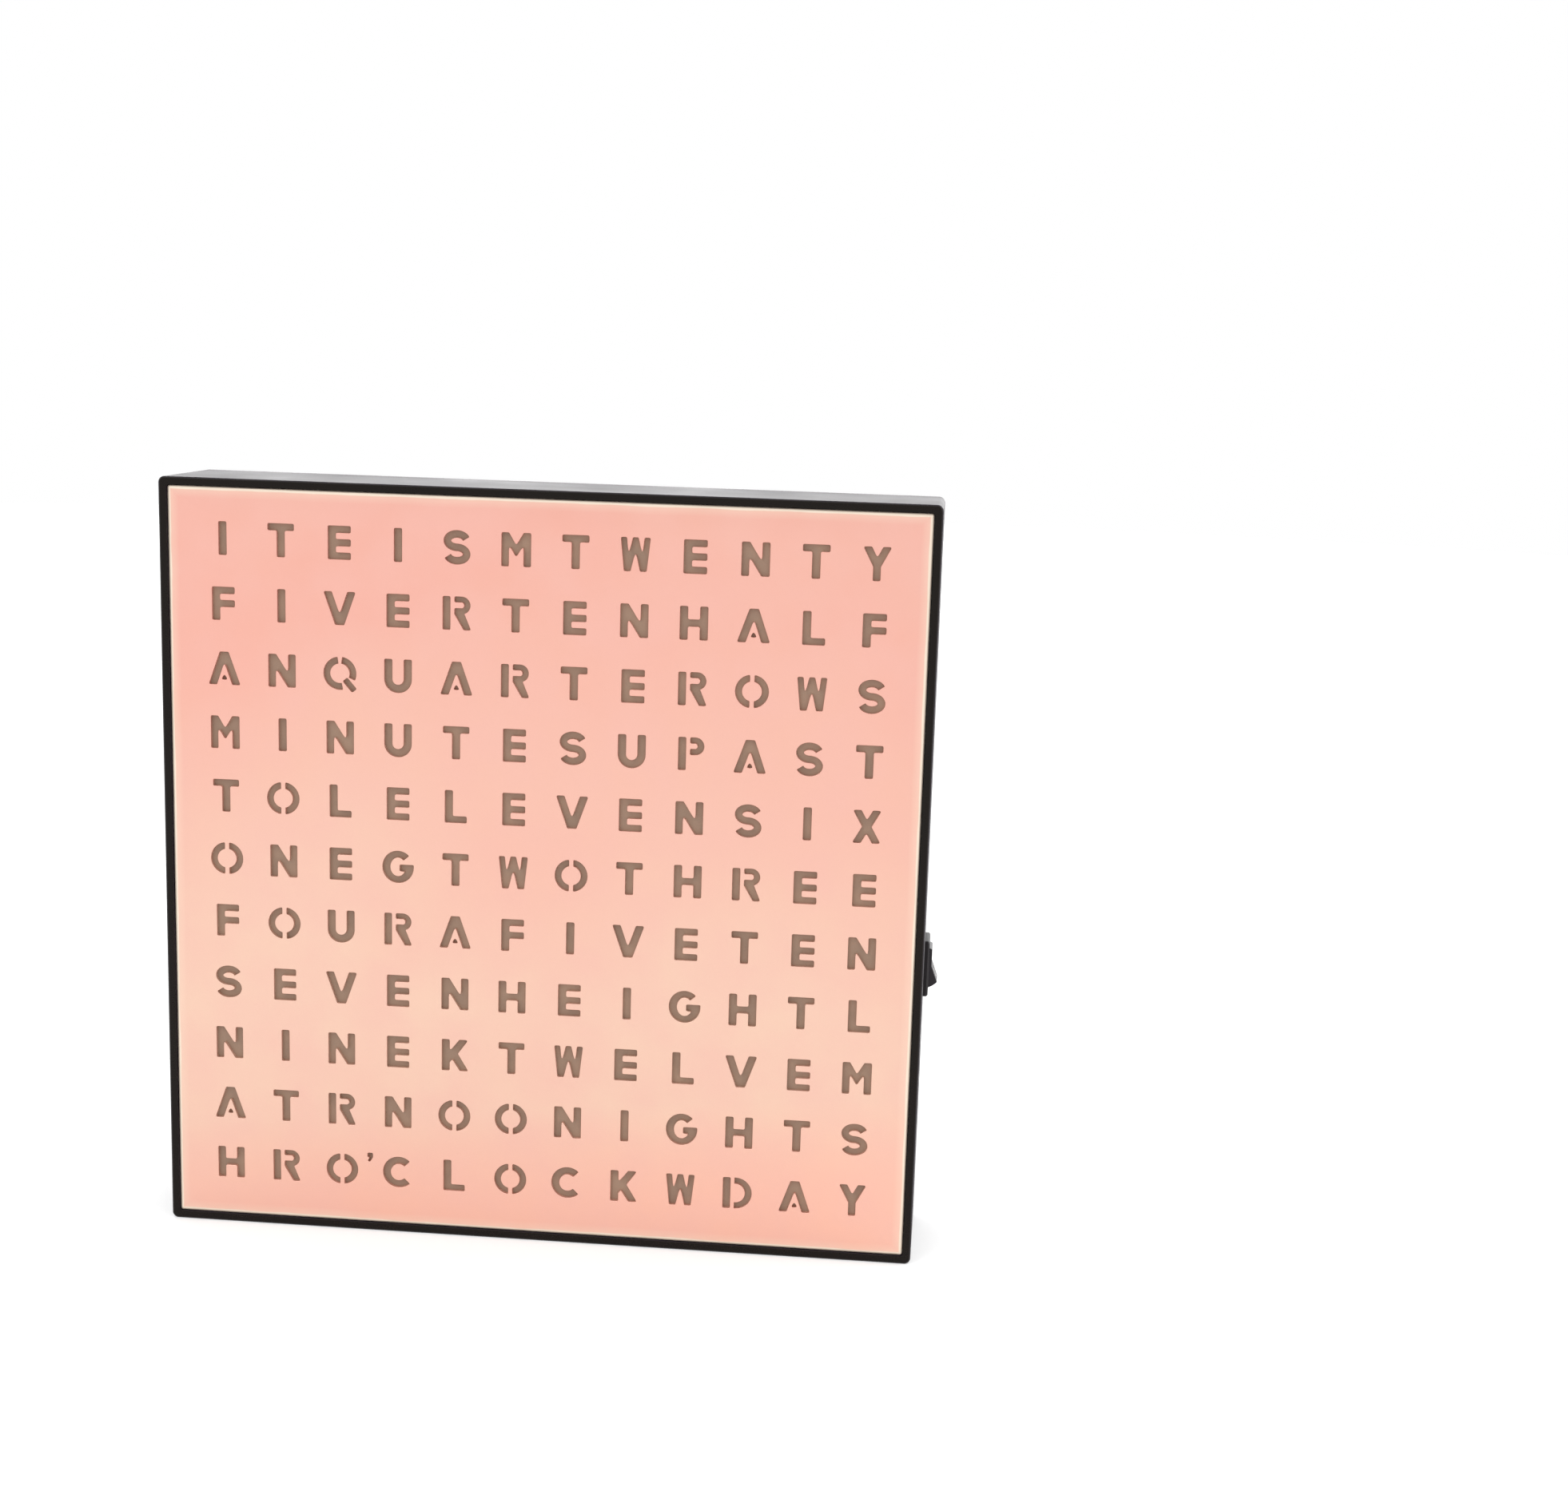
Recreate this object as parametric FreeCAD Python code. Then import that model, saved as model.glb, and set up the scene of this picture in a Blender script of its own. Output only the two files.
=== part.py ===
import FreeCAD, Part
import math
import os

# Clock that tells the time in words, for a desk or a wall.
#
# The face is a thin metal stencil on a translucent sheet. Behind each letter is one
# cell of a light grid, lit by its own LED on the board that closes the grid. A moulded
# case carries everything and a panel closes it from behind. The right wall has the
# power switch, two moulded buttons and the power socket.
#
# Frame, in millimetres: the origin is the centre of the case's base, +X is to the right
# as seen from the front, +Y goes from the face to the back, +Z is up. A "depth" is
# measured back from the front edge of the case.

# ---------------------------------------------------------------- driving dimensions

# Case
WIDTH = 197.0
HEIGHT = 197.0
DEPTH = 35.0
WALL = 2.0
OUTER_CORNER = 1.6
INNER_CORNER = 0.8
FRONT_EDGE = 0.4
REAR_EDGE = 1.5
LEDGE_WIDTH = 3.0
LEDGE_THICKNESS = 1.8

# Face, from the front edge backwards
FACE_RECESS = 0.5
PLATE_THICKNESS = 1.0
DIFFUSER_THICKNESS = 0.5
TAPE_THICKNESS = 0.3
TAPE_MARGIN = 0.4
FACE_CLEARANCE = 0.15

# Light grid: one cell for each letter
COLUMNS = 12
ROWS = 11
GRID_SIDE_MARGIN = 8.5
GRID_END_MARGIN = 7.75
CELL_WALL = 1.0
GRID_DEPTH = 13.3

# Board and LEDs
BOARD_THICKNESS = 1.6
BOARD_CLEARANCE = 0.4
NOTCH_CLEARANCE = 0.5
REST_END_MARGIN = 16.0
REST_REACH = 4.0
REST_THICKNESS = 2.0
LED_WIDTH = 3.5
LED_HEIGHT = 2.8
LED_THICKNESS = 1.9

# Corner columns, rear cover and its screws
COLUMN_SIZE = 5.4
COVER_THICKNESS = 2.4
COVER_CLEARANCE = 0.2
COVER_CORNER = 0.6
PILLAR_CLEARANCE = 1.0
COVER_SCREW_RADIUS = 1.0
COVER_SCREW_LENGTH = 10.0
COVER_SCREW_HEAD_RADIUS = 1.9
COVER_SCREW_SUNK = 0.1
COUNTERSINK_CLEARANCE = 0.05
COVER_HOLE_CLEARANCE = 0.2
PILOT_CLEARANCE = 0.05
PILOT_SPARE = 1.0
RIB_OFFSET = 48.0
RIB_THICKNESS = 1.2
RIB_HEIGHT = 2.5
RIB_END_GAP = 8.0

# Keyhole for a wall screw, with a moulded hood behind it
KEYHOLE_DROP = 32.0
KEYHOLE_ENTRY_RADIUS = 4.2
KEYHOLE_SLOT_RADIUS = 2.2
KEYHOLE_RISE = 8.0
HOOD_WALL = 1.2
HOOD_ROOM = 5.5
HOOD_DEPTH = 4.4

# Places of the controls on the right wall, from the base upwards
SOCKET_HEIGHT = 33.4
BUTTONS_ABOVE_SOCKET = 19.95
ROCKER_ABOVE_BUTTONS = 21.35

# Buttons moulded into the right wall
BUTTON_DEPTH = 21.0
BUTTON_PITCH = 10.7
BUTTON_RADIUS = 3.2
BUTTON_ARM = 3.8
SLOT_WIDTH = 1.0
SLOT_OFFSET = 0.3
PLUS_NECK_WIDTH = 4.8
MINUS_NECK_WIDTH = 3.2
HINGE_CLEARANCE = 0.05
HINGE_END_CLEARANCE = 0.1
POST_SIDE = 2.0
POST_LENGTH = 1.5

# Side-acting tact switches
TACT_SIZE = 6.0
TACT_THICKNESS = 3.6
TACT_CHAMFER = 0.5
PLUNGER_RADIUS = 1.7
PLUNGER_PROUD = 1.3
PLUNGER_HELD = 1.0
PLUNGER_TRAVEL_ROOM = 0.5
PLUNGER_CLEARANCE = 0.05
CONTACT_GAP = 0.08

# Power socket, for a barrel plug
SOCKET_DEPTH = 22.0
SOCKET_HOLE_RADIUS = 3.7
SOCKET_BORE_RADIUS = 3.0
SOCKET_BORE_DEPTH = 9.5
SOCKET_LENGTH = 14.0
SOCKET_WIDTH = 9.0
SOCKET_FLANGE = 3.3
SOCKET_SHOULDER = 0.5
SOCKET_WALL_GAP = 0.2
PIN_RADIUS = 1.0
PIN_RECESS = 0.8
PIN_TIP = 0.4
PIN_ROOT_RADIUS = 1.5
PIN_ROOT_CLEARANCE = 0.02
TAB_WIDTH = 2.4
TAB_THICKNESS = 0.4

# Power switch
ROCKER_DEPTH = 22.5
BEZEL_WIDTH = 10.5
BEZEL_HEIGHT = 15.0
BEZEL_PROUD = 1.3
BEZEL_CORNER = 0.8
BEZEL_EDGE = 0.4
ROCKER_BODY_WIDTH = 8.4
ROCKER_BODY_HEIGHT = 13.2
ROCKER_BODY_LENGTH = 12.0
CUTOUT_CLEARANCE = 0.2
WELL_FLOOR = 4.0
SNAP_LENGTH = 4.0
SNAP_PROUD = 0.7
SNAP_WIDTH = 4.0
PADDLE_WIDTH = 6.8
PADDLE_SIDE_CLEARANCE = 0.1
PADDLE_RADIUS = 5.7
PADDLE_END_CLEARANCE = 0.2
PADDLE_FACE_DISTANCE = 2.7
PADDLE_PROUD = 0.7
PADDLE_TILT = 10.0
PADDLE_SKIRT = 1.4
TRUNNION_RADIUS = 0.8
TRUNNION_CLEARANCE = 0.05
TRUNNION_GAP = 0.1
BLADE_WIDTH = 2.8
BLADE_THICKNESS = 0.5
BLADE_LENGTH = 6.5
BLADE_SPACING = 6.6

# Leads from the switch to the board, and their connector
LEAD_DIAMETER = 1.3
LEAD_PITCH = 2.5
LEAD_REACH = 16.0
HEADER_LENGTH = 6.0
HEADER_WIDTH = 8.0
HEADER_HEIGHT = 5.6
HEADER_WALL = 0.7
HEADER_FLOOR = 1.4
PLUG_CLEARANCE = 0.1
PLUG_STANDS_OUT = 2.0

# Chips and other parts on the back of the board
CONTROLLER_SIZE = 10.0
CONTROLLER_THICKNESS = 1.6
CONTROLLER_HEIGHT = 100.0
DRIVER_WIDTH = 15.4
DRIVER_HEIGHT = 7.5
DRIVER_THICKNESS = 2.5
DRIVER_OFFSET = 30.0
CHIP_CORNER = 0.3
CRYSTAL_WIDTH = 3.2
CRYSTAL_HEIGHT = 1.5
CRYSTAL_THICKNESS = 0.9
CRYSTAL_GAP = 4.0
CAPACITOR_WIDTH = 7.3
CAPACITOR_HEIGHT = 4.3
CAPACITOR_THICKNESS = 2.9
CAPACITOR_GAP = 6.0
CAPACITOR_SPACING = 6.0

# ------------------------------------------------------------------- derived places

X_AXIS = FreeCAD.Vector(1, 0, 0)
Y_AXIS = FreeCAD.Vector(0, 1, 0)
OVERRUN = 1.0

right_face = WIDTH / 2
right_inside = right_face - WALL
middle_height = HEIGHT / 2

plate_back = FACE_RECESS + PLATE_THICKNESS
diffuser_back = plate_back + DIFFUSER_THICKNESS
ledge_front = diffuser_back + TAPE_THICKNESS
ledge_back = ledge_front + LEDGE_THICKNESS
board_front = diffuser_back + GRID_DEPTH
board_back = board_front + BOARD_THICKNESS
cover_front = DEPTH - COVER_THICKNESS
hood_front = cover_front - HOOD_DEPTH

cell_width = (WIDTH - 2 * GRID_SIDE_MARGIN) / COLUMNS
cell_height = (HEIGHT - 2 * GRID_END_MARGIN) / ROWS

screw_x = right_inside - COLUMN_SIZE / 2
screw_heights = (WALL + COLUMN_SIZE / 2, HEIGHT - WALL - COLUMN_SIZE / 2)
screw_top = DEPTH - COVER_SCREW_SUNK
rest_heights = (REST_END_MARGIN, middle_height, HEIGHT - REST_END_MARGIN)

buttons_middle = SOCKET_HEIGHT + BUTTONS_ABOVE_SOCKET
plus_height = buttons_middle + BUTTON_PITCH / 2
minus_height = buttons_middle - BUTTON_PITCH / 2
neck_back = BUTTON_DEPTH + BUTTON_RADIUS
hinge_x = right_face - WALL / 2
plunger_face = right_inside - POST_LENGTH - CONTACT_GAP
tact_face = plunger_face - PLUNGER_PROUD

rocker_height = buttons_middle + ROCKER_ABOVE_BUTTONS
bezel_face = right_face + BEZEL_PROUD
rocker_back = right_face - ROCKER_BODY_LENGTH
paddle_axis_x = bezel_face + PADDLE_PROUD - PADDLE_FACE_DISTANCE
blade_heights = (rocker_height + BLADE_SPACING / 2, rocker_height - BLADE_SPACING / 2)
blade_end = rocker_back - BLADE_LENGTH

socket_face = right_inside - SOCKET_WALL_GAP
socket_back = socket_face - SOCKET_LENGTH

keyhole_height = HEIGHT - KEYHOLE_DROP
lead_depth = board_back + HEADER_HEIGHT / 2
lead_heights = (rocker_height + LEAD_PITCH / 2, rocker_height - LEAD_PITCH / 2)
plug_face = blade_end - LEAD_REACH
header_face = plug_face - PLUG_STANDS_OUT

# ------------------------------------------------------------------------- helpers


def at_depth(depth):
    """Y of a place that far back from the front edge."""
    return depth - DEPTH / 2


def block(x, depth, z):
    """Box between two values of X, two depths and two heights."""
    low = FreeCAD.Vector(min(x), at_depth(min(depth)), min(z))
    return Part.makeBox(max(x) - min(x), max(depth) - min(depth), max(z) - min(z), low)


def around(middle, size):
    """The two ends of a length about its middle."""
    return (middle - size / 2, middle + size / 2)


def edges_along(shape, axis):
    """Straight edges that run along an axis."""
    straight = [e for e in shape.Edges if e.Curve.TypeId == "Part::GeomLine"]
    return [e for e in straight if abs(abs(e.Curve.Direction.dot(axis)) - 1) < 1e-9]


def rounded(shape, radius, axis):
    """The shape with its edges along an axis rounded."""
    return shape.makeFillet(radius, edges_along(shape, axis))


def loop_at_depth(shape, depth):
    """Edges that lie wholly at one depth."""
    place = at_depth(depth)
    return [e for e in shape.Edges if all(abs(v.Y - place) < 1e-6 for v in e.Vertexes)]


def loop_at_x(shape, place):
    """Edges that lie wholly at one value of X."""
    return [e for e in shape.Edges if all(abs(v.X - place) < 1e-6 for v in e.Vertexes)]


def sheet(front, back, inset):
    """Sheet between two depths, its outline the case's brought in on every side."""
    across = (-WIDTH / 2 + inset, WIDTH / 2 - inset)
    return block(across, (front, back), (inset, HEIGHT - inset))


def panel(front, back, inset, corner):
    """The same with rounded corners."""
    return rounded(sheet(front, back, inset), corner, Y_AXIS)


def rod_x(start, end, depth, z, radius):
    """Cylinder along X between two values of X."""
    low = FreeCAD.Vector(min(start, end), at_depth(depth), z)
    return Part.makeCylinder(radius, abs(end - start), low, X_AXIS)


def rod_y(x, front, back, z, radius):
    """Cylinder along Y between two depths."""
    low = FreeCAD.Vector(x, at_depth(front), z)
    return Part.makeCylinder(radius, back - front, low, Y_AXIS)


def joined(shapes):
    """One solid from shapes that meet, with no seams left in its faces."""
    return shapes[0].fuse(shapes[1:]).removeSplitter()


def countersunk(x, z, shank_radius, shank_end, head_radius, head_depth):
    """Shank that opens at 45 degrees into a head, which has its full radius at a depth."""
    rise = head_radius - shank_radius
    base = FreeCAD.Vector(x, at_depth(head_depth - rise), z)
    head = Part.makeCone(shank_radius, head_radius, rise, base, Y_AXIS)
    return head.fuse(rod_y(x, shank_end, head_depth - rise, z, shank_radius))


# ------------------------------------------------------------------------- buttons


def wall_prism(outline):
    """Prism through the right wall, from lines and arcs at the wall's inner face."""
    face = Part.Face(Part.Wire([piece.toShape() for piece in outline]))
    return face.extrude(X_AXIS * WALL)


def on_wall(depth, z):
    """Point on the inner face of the right wall."""
    return FreeCAD.Vector(right_inside, at_depth(depth), z)


def toward_other(height):
    """Which way a button's neck runs: 1 for up, -1 for down."""
    return math.copysign(1, buttons_middle - height)


def root_height(height):
    """Height of the line that a button bends about."""
    return height + toward_other(height) * BUTTON_ARM


def root_knuckle(height, neck_width, radius, end_clearance):
    """Round root of a button, along the line that it bends about."""
    near = neck_back - neck_width - end_clearance
    return rod_y(hinge_x, near, neck_back + end_clearance, root_height(height), radius)


def make_button(height, neck_width):
    """Disc on a neck with a round root, and the post that pushes its switch."""
    way = toward_other(height)
    near = neck_back - neck_width
    leaves = height + way * math.sqrt(BUTTON_RADIUS**2 - (BUTTON_DEPTH - near) ** 2)
    root_end = root_height(height) + way * WALL / 2
    outline = [
        Part.LineSegment(on_wall(near, leaves), on_wall(near, root_end)),
        Part.LineSegment(on_wall(near, root_end), on_wall(neck_back, root_end)),
        Part.LineSegment(on_wall(neck_back, root_end), on_wall(neck_back, height)),
        Part.Arc(
            on_wall(neck_back, height),
            on_wall(BUTTON_DEPTH, height - way * BUTTON_RADIUS),
            on_wall(near, leaves),
        ),
    ]
    neck_and_disc = wall_prism(outline)

    # Seen along the wall, the flap is a strip that ends in a half circle at its root.
    def section(x, z):
        return FreeCAD.Vector(x, at_depth(BUTTON_DEPTH - BUTTON_RADIUS - OVERRUN), z)

    root = root_height(height)
    far_end = height - way * (BUTTON_RADIUS + OVERRUN)
    strip = [
        Part.LineSegment(section(right_face, root), section(right_face, far_end)),
        Part.LineSegment(section(right_face, far_end), section(right_inside, far_end)),
        Part.LineSegment(section(right_inside, far_end), section(right_inside, root)),
        Part.Arc(
            section(right_inside, root),
            section(hinge_x, root_end),
            section(right_face, root),
        ),
    ]
    strip = Part.Face(Part.Wire([piece.toShape() for piece in strip]))
    flap = neck_and_disc.common(strip.extrude(Y_AXIS * 2 * (BUTTON_RADIUS + OVERRUN)))

    along = (right_inside - POST_LENGTH, right_inside)
    post = block(along, around(BUTTON_DEPTH, POST_SIDE), around(height, POST_SIDE))
    return flap.fuse(post).Solids[0]


def button_slots():
    """What the case loses round both buttons: one slot that runs past the two of them.

    Its round ends are centred a little in front of the discs, which makes the slot
    widest in front of each disc and narrowest behind it.
    """
    reach = BUTTON_RADIUS + SLOT_WIDTH
    centre = BUTTON_DEPTH - SLOT_OFFSET
    back = centre + reach
    plus_root, minus_root = root_height(plus_height), root_height(minus_height)
    plus_near = neck_back - PLUS_NECK_WIDTH - SLOT_WIDTH
    plus_leaves = plus_height - math.sqrt(reach**2 - (centre - plus_near) ** 2)
    minus_near = centre - math.sqrt(reach**2 - BUTTON_ARM**2)
    outline = [
        Part.LineSegment(on_wall(back, minus_height), on_wall(back, plus_height)),
        Part.Arc(
            on_wall(back, plus_height),
            on_wall(centre, plus_height + reach),
            on_wall(plus_near, plus_leaves),
        ),
        Part.LineSegment(on_wall(plus_near, plus_leaves), on_wall(plus_near, plus_root)),
        Part.LineSegment(on_wall(plus_near, plus_root), on_wall(neck_back, plus_root)),
        Part.LineSegment(on_wall(neck_back, plus_root), on_wall(neck_back, minus_root)),
        Part.LineSegment(on_wall(neck_back, minus_root), on_wall(minus_near, minus_root)),
        Part.Arc(
            on_wall(minus_near, minus_root),
            on_wall(centre, minus_height - reach),
            on_wall(back, minus_height),
        ),
    ]
    radius = WALL / 2 + HINGE_CLEARANCE
    return [
        wall_prism(outline),
        root_knuckle(plus_height, PLUS_NECK_WIDTH, radius, HINGE_END_CLEARANCE),
        root_knuckle(minus_height, MINUS_NECK_WIDTH, radius, HINGE_END_CLEARANCE),
    ]


# ---------------------------------------------------------------------------- case


def make_housing():
    """Case with a ledge for the face, rests, columns and the holes in its right wall."""
    case = panel(0, DEPTH, 0, OUTER_CORNER)
    case = case.makeFillet(REAR_EDGE, loop_at_depth(case, DEPTH))
    case = case.makeChamfer(FRONT_EDGE, loop_at_depth(case, 0))
    case = case.cut(panel(-OVERRUN, ledge_front, WALL, INNER_CORNER))
    case = case.cut(panel(ledge_back, DEPTH + OVERRUN, WALL, INNER_CORNER))
    case = case.cut(panel(0, DEPTH, WALL + LEDGE_WIDTH, INNER_CORNER))

    posts = []
    pilots = []
    in_wall = WALL / 2
    for side in (-1, 1):
        across = (side * (right_inside - COLUMN_SIZE), side * (right_face - in_wall))
        low = (in_wall, WALL + COLUMN_SIZE)
        high = (HEIGHT - WALL - COLUMN_SIZE, HEIGHT - in_wall)
        for up in (low, high):
            posts.append(block(across, (ledge_front, cover_front), up))
        across = (side * (right_inside - REST_REACH), side * (right_face - in_wall))
        for z in rest_heights:
            rest = (ledge_front, board_front)
            posts.append(block(across, rest, around(z, REST_THICKNESS)))
        for z in screw_heights:
            end = screw_top - COVER_SCREW_LENGTH - PILOT_SPARE
            radius = COVER_SCREW_RADIUS + PILOT_CLEARANCE
            pilots.append(rod_y(side * screw_x, end, cover_front, z, radius))
    case = joined([case] + posts)

    through = (right_inside - OVERRUN, right_face + OVERRUN)
    switch_hole = block(
        through,
        around(ROCKER_DEPTH, ROCKER_BODY_WIDTH + 2 * CUTOUT_CLEARANCE),
        around(rocker_height, ROCKER_BODY_HEIGHT + 2 * CUTOUT_CLEARANCE),
    )
    socket_hole = rod_x(*through, SOCKET_DEPTH, SOCKET_HEIGHT, SOCKET_HOLE_RADIUS)
    return case.cut(pilots + button_slots() + [switch_hole, socket_hole])


def make_rear_cover():
    """Panel let into the back, with ribs, pillars for the board, and a hooded keyhole."""
    inset = WALL + COVER_CLEARANCE
    cover = panel(cover_front, DEPTH, inset, COVER_CORNER)

    rib_depths = (cover_front - RIB_HEIGHT, cover_front)
    side = inset + RIB_END_GAP
    stiffeners = []
    for offset in (-RIB_OFFSET, RIB_OFFSET):
        upright = around(offset, RIB_THICKNESS)
        stiffeners.append(block(upright, rib_depths, (side, HEIGHT - side)))
        lying = around(middle_height + offset, RIB_THICKNESS)
        stiffeners.append(block((side - WIDTH / 2, WIDTH / 2 - side), rib_depths, lying))
    outer = right_inside - PILLAR_CLEARANCE
    for way in (-1, 1):
        across = (way * (right_inside - REST_REACH), way * outer)
        for z in rest_heights:
            pillar = block(across, (board_back, cover_front), around(z, REST_THICKNESS))
            stiffeners.append(pillar)

    slot_top = keyhole_height + KEYHOLE_RISE
    room_z = (keyhole_height - HOOD_ROOM, slot_top + HOOD_ROOM)
    hood = block(
        around(0, 2 * (HOOD_ROOM + HOOD_WALL)),
        (hood_front - HOOD_WALL, cover_front),
        (room_z[0] - HOOD_WALL, room_z[1] + HOOD_WALL),
    )
    room = block(around(0, 2 * HOOD_ROOM), (hood_front, cover_front), room_z)
    cover = joined([cover, hood] + stiffeners)

    through = (hood_front, DEPTH + OVERRUN)
    slot = block(around(0, 2 * KEYHOLE_SLOT_RADIUS), through, (keyhole_height, slot_top))
    cuts = [room, slot]
    cuts.append(rod_y(0, *through, keyhole_height, KEYHOLE_ENTRY_RADIUS))
    cuts.append(rod_y(0, *through, slot_top, KEYHOLE_SLOT_RADIUS))
    for x in (-screw_x, screw_x):
        for z in screw_heights:
            cuts.append(cover_screw_hole(x, z))
    return cover.cut(cuts)


def cover_screw_hole(x, z):
    """Countersunk hole through the cover, its cone open past the outer face."""
    shank = COVER_SCREW_RADIUS + COVER_HOLE_CLEARANCE
    past = DEPTH + OVERRUN
    mouth = COVER_SCREW_HEAD_RADIUS + COUNTERSINK_CLEARANCE + past - screw_top
    return countersunk(x, z, shank, cover_front - OVERRUN, mouth, past)


def make_cover_screws():
    """Four countersunk screws through the rear cover into the corner columns."""
    shank = (COVER_SCREW_RADIUS, screw_top - COVER_SCREW_LENGTH)
    head = (COVER_SCREW_HEAD_RADIUS, screw_top)
    return [
        countersunk(x, z, *shank, *head)
        for x in (-screw_x, screw_x)
        for z in screw_heights
    ]


# ---------------------------------------------------------------------------- face


def make_faceplate():
    """Metal sheet of the face, let into the front of the case."""
    return panel(FACE_RECESS, plate_back, WALL + FACE_CLEARANCE, INNER_CORNER)


def make_diffuser():
    """Translucent sheet on the back of the metal one."""
    return panel(plate_back, diffuser_back, WALL + FACE_CLEARANCE, INNER_CORNER)


def make_adhesive_frame():
    """Ring of tape between the diffuser and the ledge."""
    depths = (diffuser_back, ledge_front)
    outside = WALL + TAPE_MARGIN
    inside = WALL + LEDGE_WIDTH - TAPE_MARGIN
    return sheet(*depths, outside).cut(sheet(*depths, inside))


def make_light_baffle():
    """Grid of light cells, one behind each letter."""
    half_width = COLUMNS * cell_width / 2
    depths = (diffuser_back, board_front)
    grid = block(
        around(0, COLUMNS * cell_width + CELL_WALL),
        depths,
        around(middle_height, ROWS * cell_height + CELL_WALL),
    )
    cells = []
    for column in range(COLUMNS):
        x = -half_width + (column + 0.5) * cell_width
        for row in range(ROWS):
            z = HEIGHT - GRID_END_MARGIN - (row + 0.5) * cell_height
            width, height = cell_width - CELL_WALL, cell_height - CELL_WALL
            cells.append(block(around(x, width), depths, around(z, height)))
    return grid.cut(cells)


# --------------------------------------------------------------------------- board


def make_led_board():
    """Board that closes the grid, notched round the corner columns."""
    inset = WALL + BOARD_CLEARANCE
    depths = (board_front, board_back)
    board = sheet(*depths, inset)
    notch = COLUMN_SIZE + NOTCH_CLEARANCE
    cuts = []
    for side in (-1, 1):
        across = (side * (right_inside - notch), side * right_face)
        cuts.append(block(across, depths, (0, WALL + notch)))
        cuts.append(block(across, depths, (HEIGHT - WALL - notch, HEIGHT)))
    return board.cut(cuts)


def make_leds():
    """One LED in the middle of each cell, on the front of the board."""
    depths = (board_front - LED_THICKNESS, board_front)
    leds = []
    for column in range(COLUMNS):
        x = (column + 0.5 - COLUMNS / 2) * cell_width
        for row in range(ROWS):
            z = HEIGHT - GRID_END_MARGIN - (row + 0.5) * cell_height
            leds.append(block(around(x, LED_WIDTH), depths, around(z, LED_HEIGHT)))
    return leds


def on_board(x, z, width, height, thickness):
    """Flat package on the back of the board."""
    return block(around(x, width), (board_back, board_back + thickness), around(z, height))


def chip(x, z, width, height, thickness):
    """The same with the bevelled top of a moulded chip."""
    body = on_board(x, z, width, height, thickness)
    return body.makeChamfer(CHIP_CORNER, loop_at_depth(body, board_back + thickness))


def make_controller_chip():
    """Controller that keeps the time and picks the words."""
    size = CONTROLLER_SIZE
    return chip(0, CONTROLLER_HEIGHT, size, size, CONTROLLER_THICKNESS)


def make_led_driver_chips():
    """Two LED drivers, one either side of the controller."""
    return [
        chip(x, CONTROLLER_HEIGHT, DRIVER_WIDTH, DRIVER_HEIGHT, DRIVER_THICKNESS)
        for x in (-DRIVER_OFFSET, DRIVER_OFFSET)
    ]


def make_clock_crystal():
    """Crystal in a flat metal can, below the controller."""
    z = CONTROLLER_HEIGHT - CONTROLLER_SIZE / 2 - CRYSTAL_GAP
    return on_board(0, z, CRYSTAL_WIDTH, CRYSTAL_HEIGHT, CRYSTAL_THICKNESS)


def make_smoothing_capacitors():
    """Two capacitors beside the power socket, one above the other."""
    x = socket_back - CAPACITOR_GAP - CAPACITOR_WIDTH / 2
    size = (CAPACITOR_WIDTH, CAPACITOR_HEIGHT, CAPACITOR_THICKNESS)
    return [on_board(x, z, *size) for z in around(SOCKET_HEIGHT, CAPACITOR_SPACING)]


# ------------------------------------------------------------------ button switches


def make_tact_body(height):
    """Upright switch body that stands on the board, its plunger facing the side wall."""
    back = tact_face - TACT_THICKNESS
    top = BUTTON_DEPTH + TACT_SIZE / 2
    body = block((back, tact_face), (board_back, top), around(height, TACT_SIZE))
    body = body.makeChamfer(TACT_CHAMFER, loop_at_depth(body, top))
    hole_end = tact_face - PLUNGER_HELD - PLUNGER_TRAVEL_ROOM
    hole_radius = PLUNGER_RADIUS + PLUNGER_CLEARANCE
    return body.cut(rod_x(hole_end, tact_face, BUTTON_DEPTH, height, hole_radius))


def make_plunger(height):
    """Plunger that the button's post pushes into the switch."""
    start = tact_face - PLUNGER_HELD
    return rod_x(start, plunger_face, BUTTON_DEPTH, height, PLUNGER_RADIUS)


# --------------------------------------------------------------------- power socket


def make_socket_body():
    """Barrel socket that stands on the board behind the round hole."""
    axis = (SOCKET_DEPTH, SOCKET_HEIGHT)
    reach = SOCKET_DEPTH - board_back
    wide = around(SOCKET_HEIGHT, SOCKET_WIDTH)
    slim = around(SOCKET_HEIGHT, SOCKET_WIDTH - 2 * SOCKET_SHOULDER)
    flange_back = socket_face - SOCKET_FLANGE
    flange = block((flange_back, socket_face), (board_back, SOCKET_DEPTH + reach), wide)
    foot = block((socket_back, flange_back), (board_back, SOCKET_DEPTH), slim)
    barrel_radius = SOCKET_WIDTH / 2 - SOCKET_SHOULDER
    barrel = rod_x(socket_back, flange_back, *axis, barrel_radius)
    body = joined([flange, foot, barrel])
    floor = socket_face - SOCKET_BORE_DEPTH
    bore = rod_x(floor, socket_face, *axis, SOCKET_BORE_RADIUS)
    root = rod_x(socket_back, floor, *axis, PIN_ROOT_RADIUS + PIN_ROOT_CLEARANCE)
    return body.cut([bore, root])


def make_socket_pin():
    """Centre pin, with a thicker root held in the socket's floor."""
    axis = (SOCKET_DEPTH, SOCKET_HEIGHT)
    floor = socket_face - SOCKET_BORE_DEPTH
    tip = socket_face - PIN_RECESS
    shaft = rod_x(floor, tip, *axis, PIN_RADIUS)
    shaft = shaft.makeChamfer(PIN_TIP, loop_at_x(shaft, tip))
    return joined([rod_x(socket_back, floor, *axis, PIN_ROOT_RADIUS), shaft])


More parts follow.
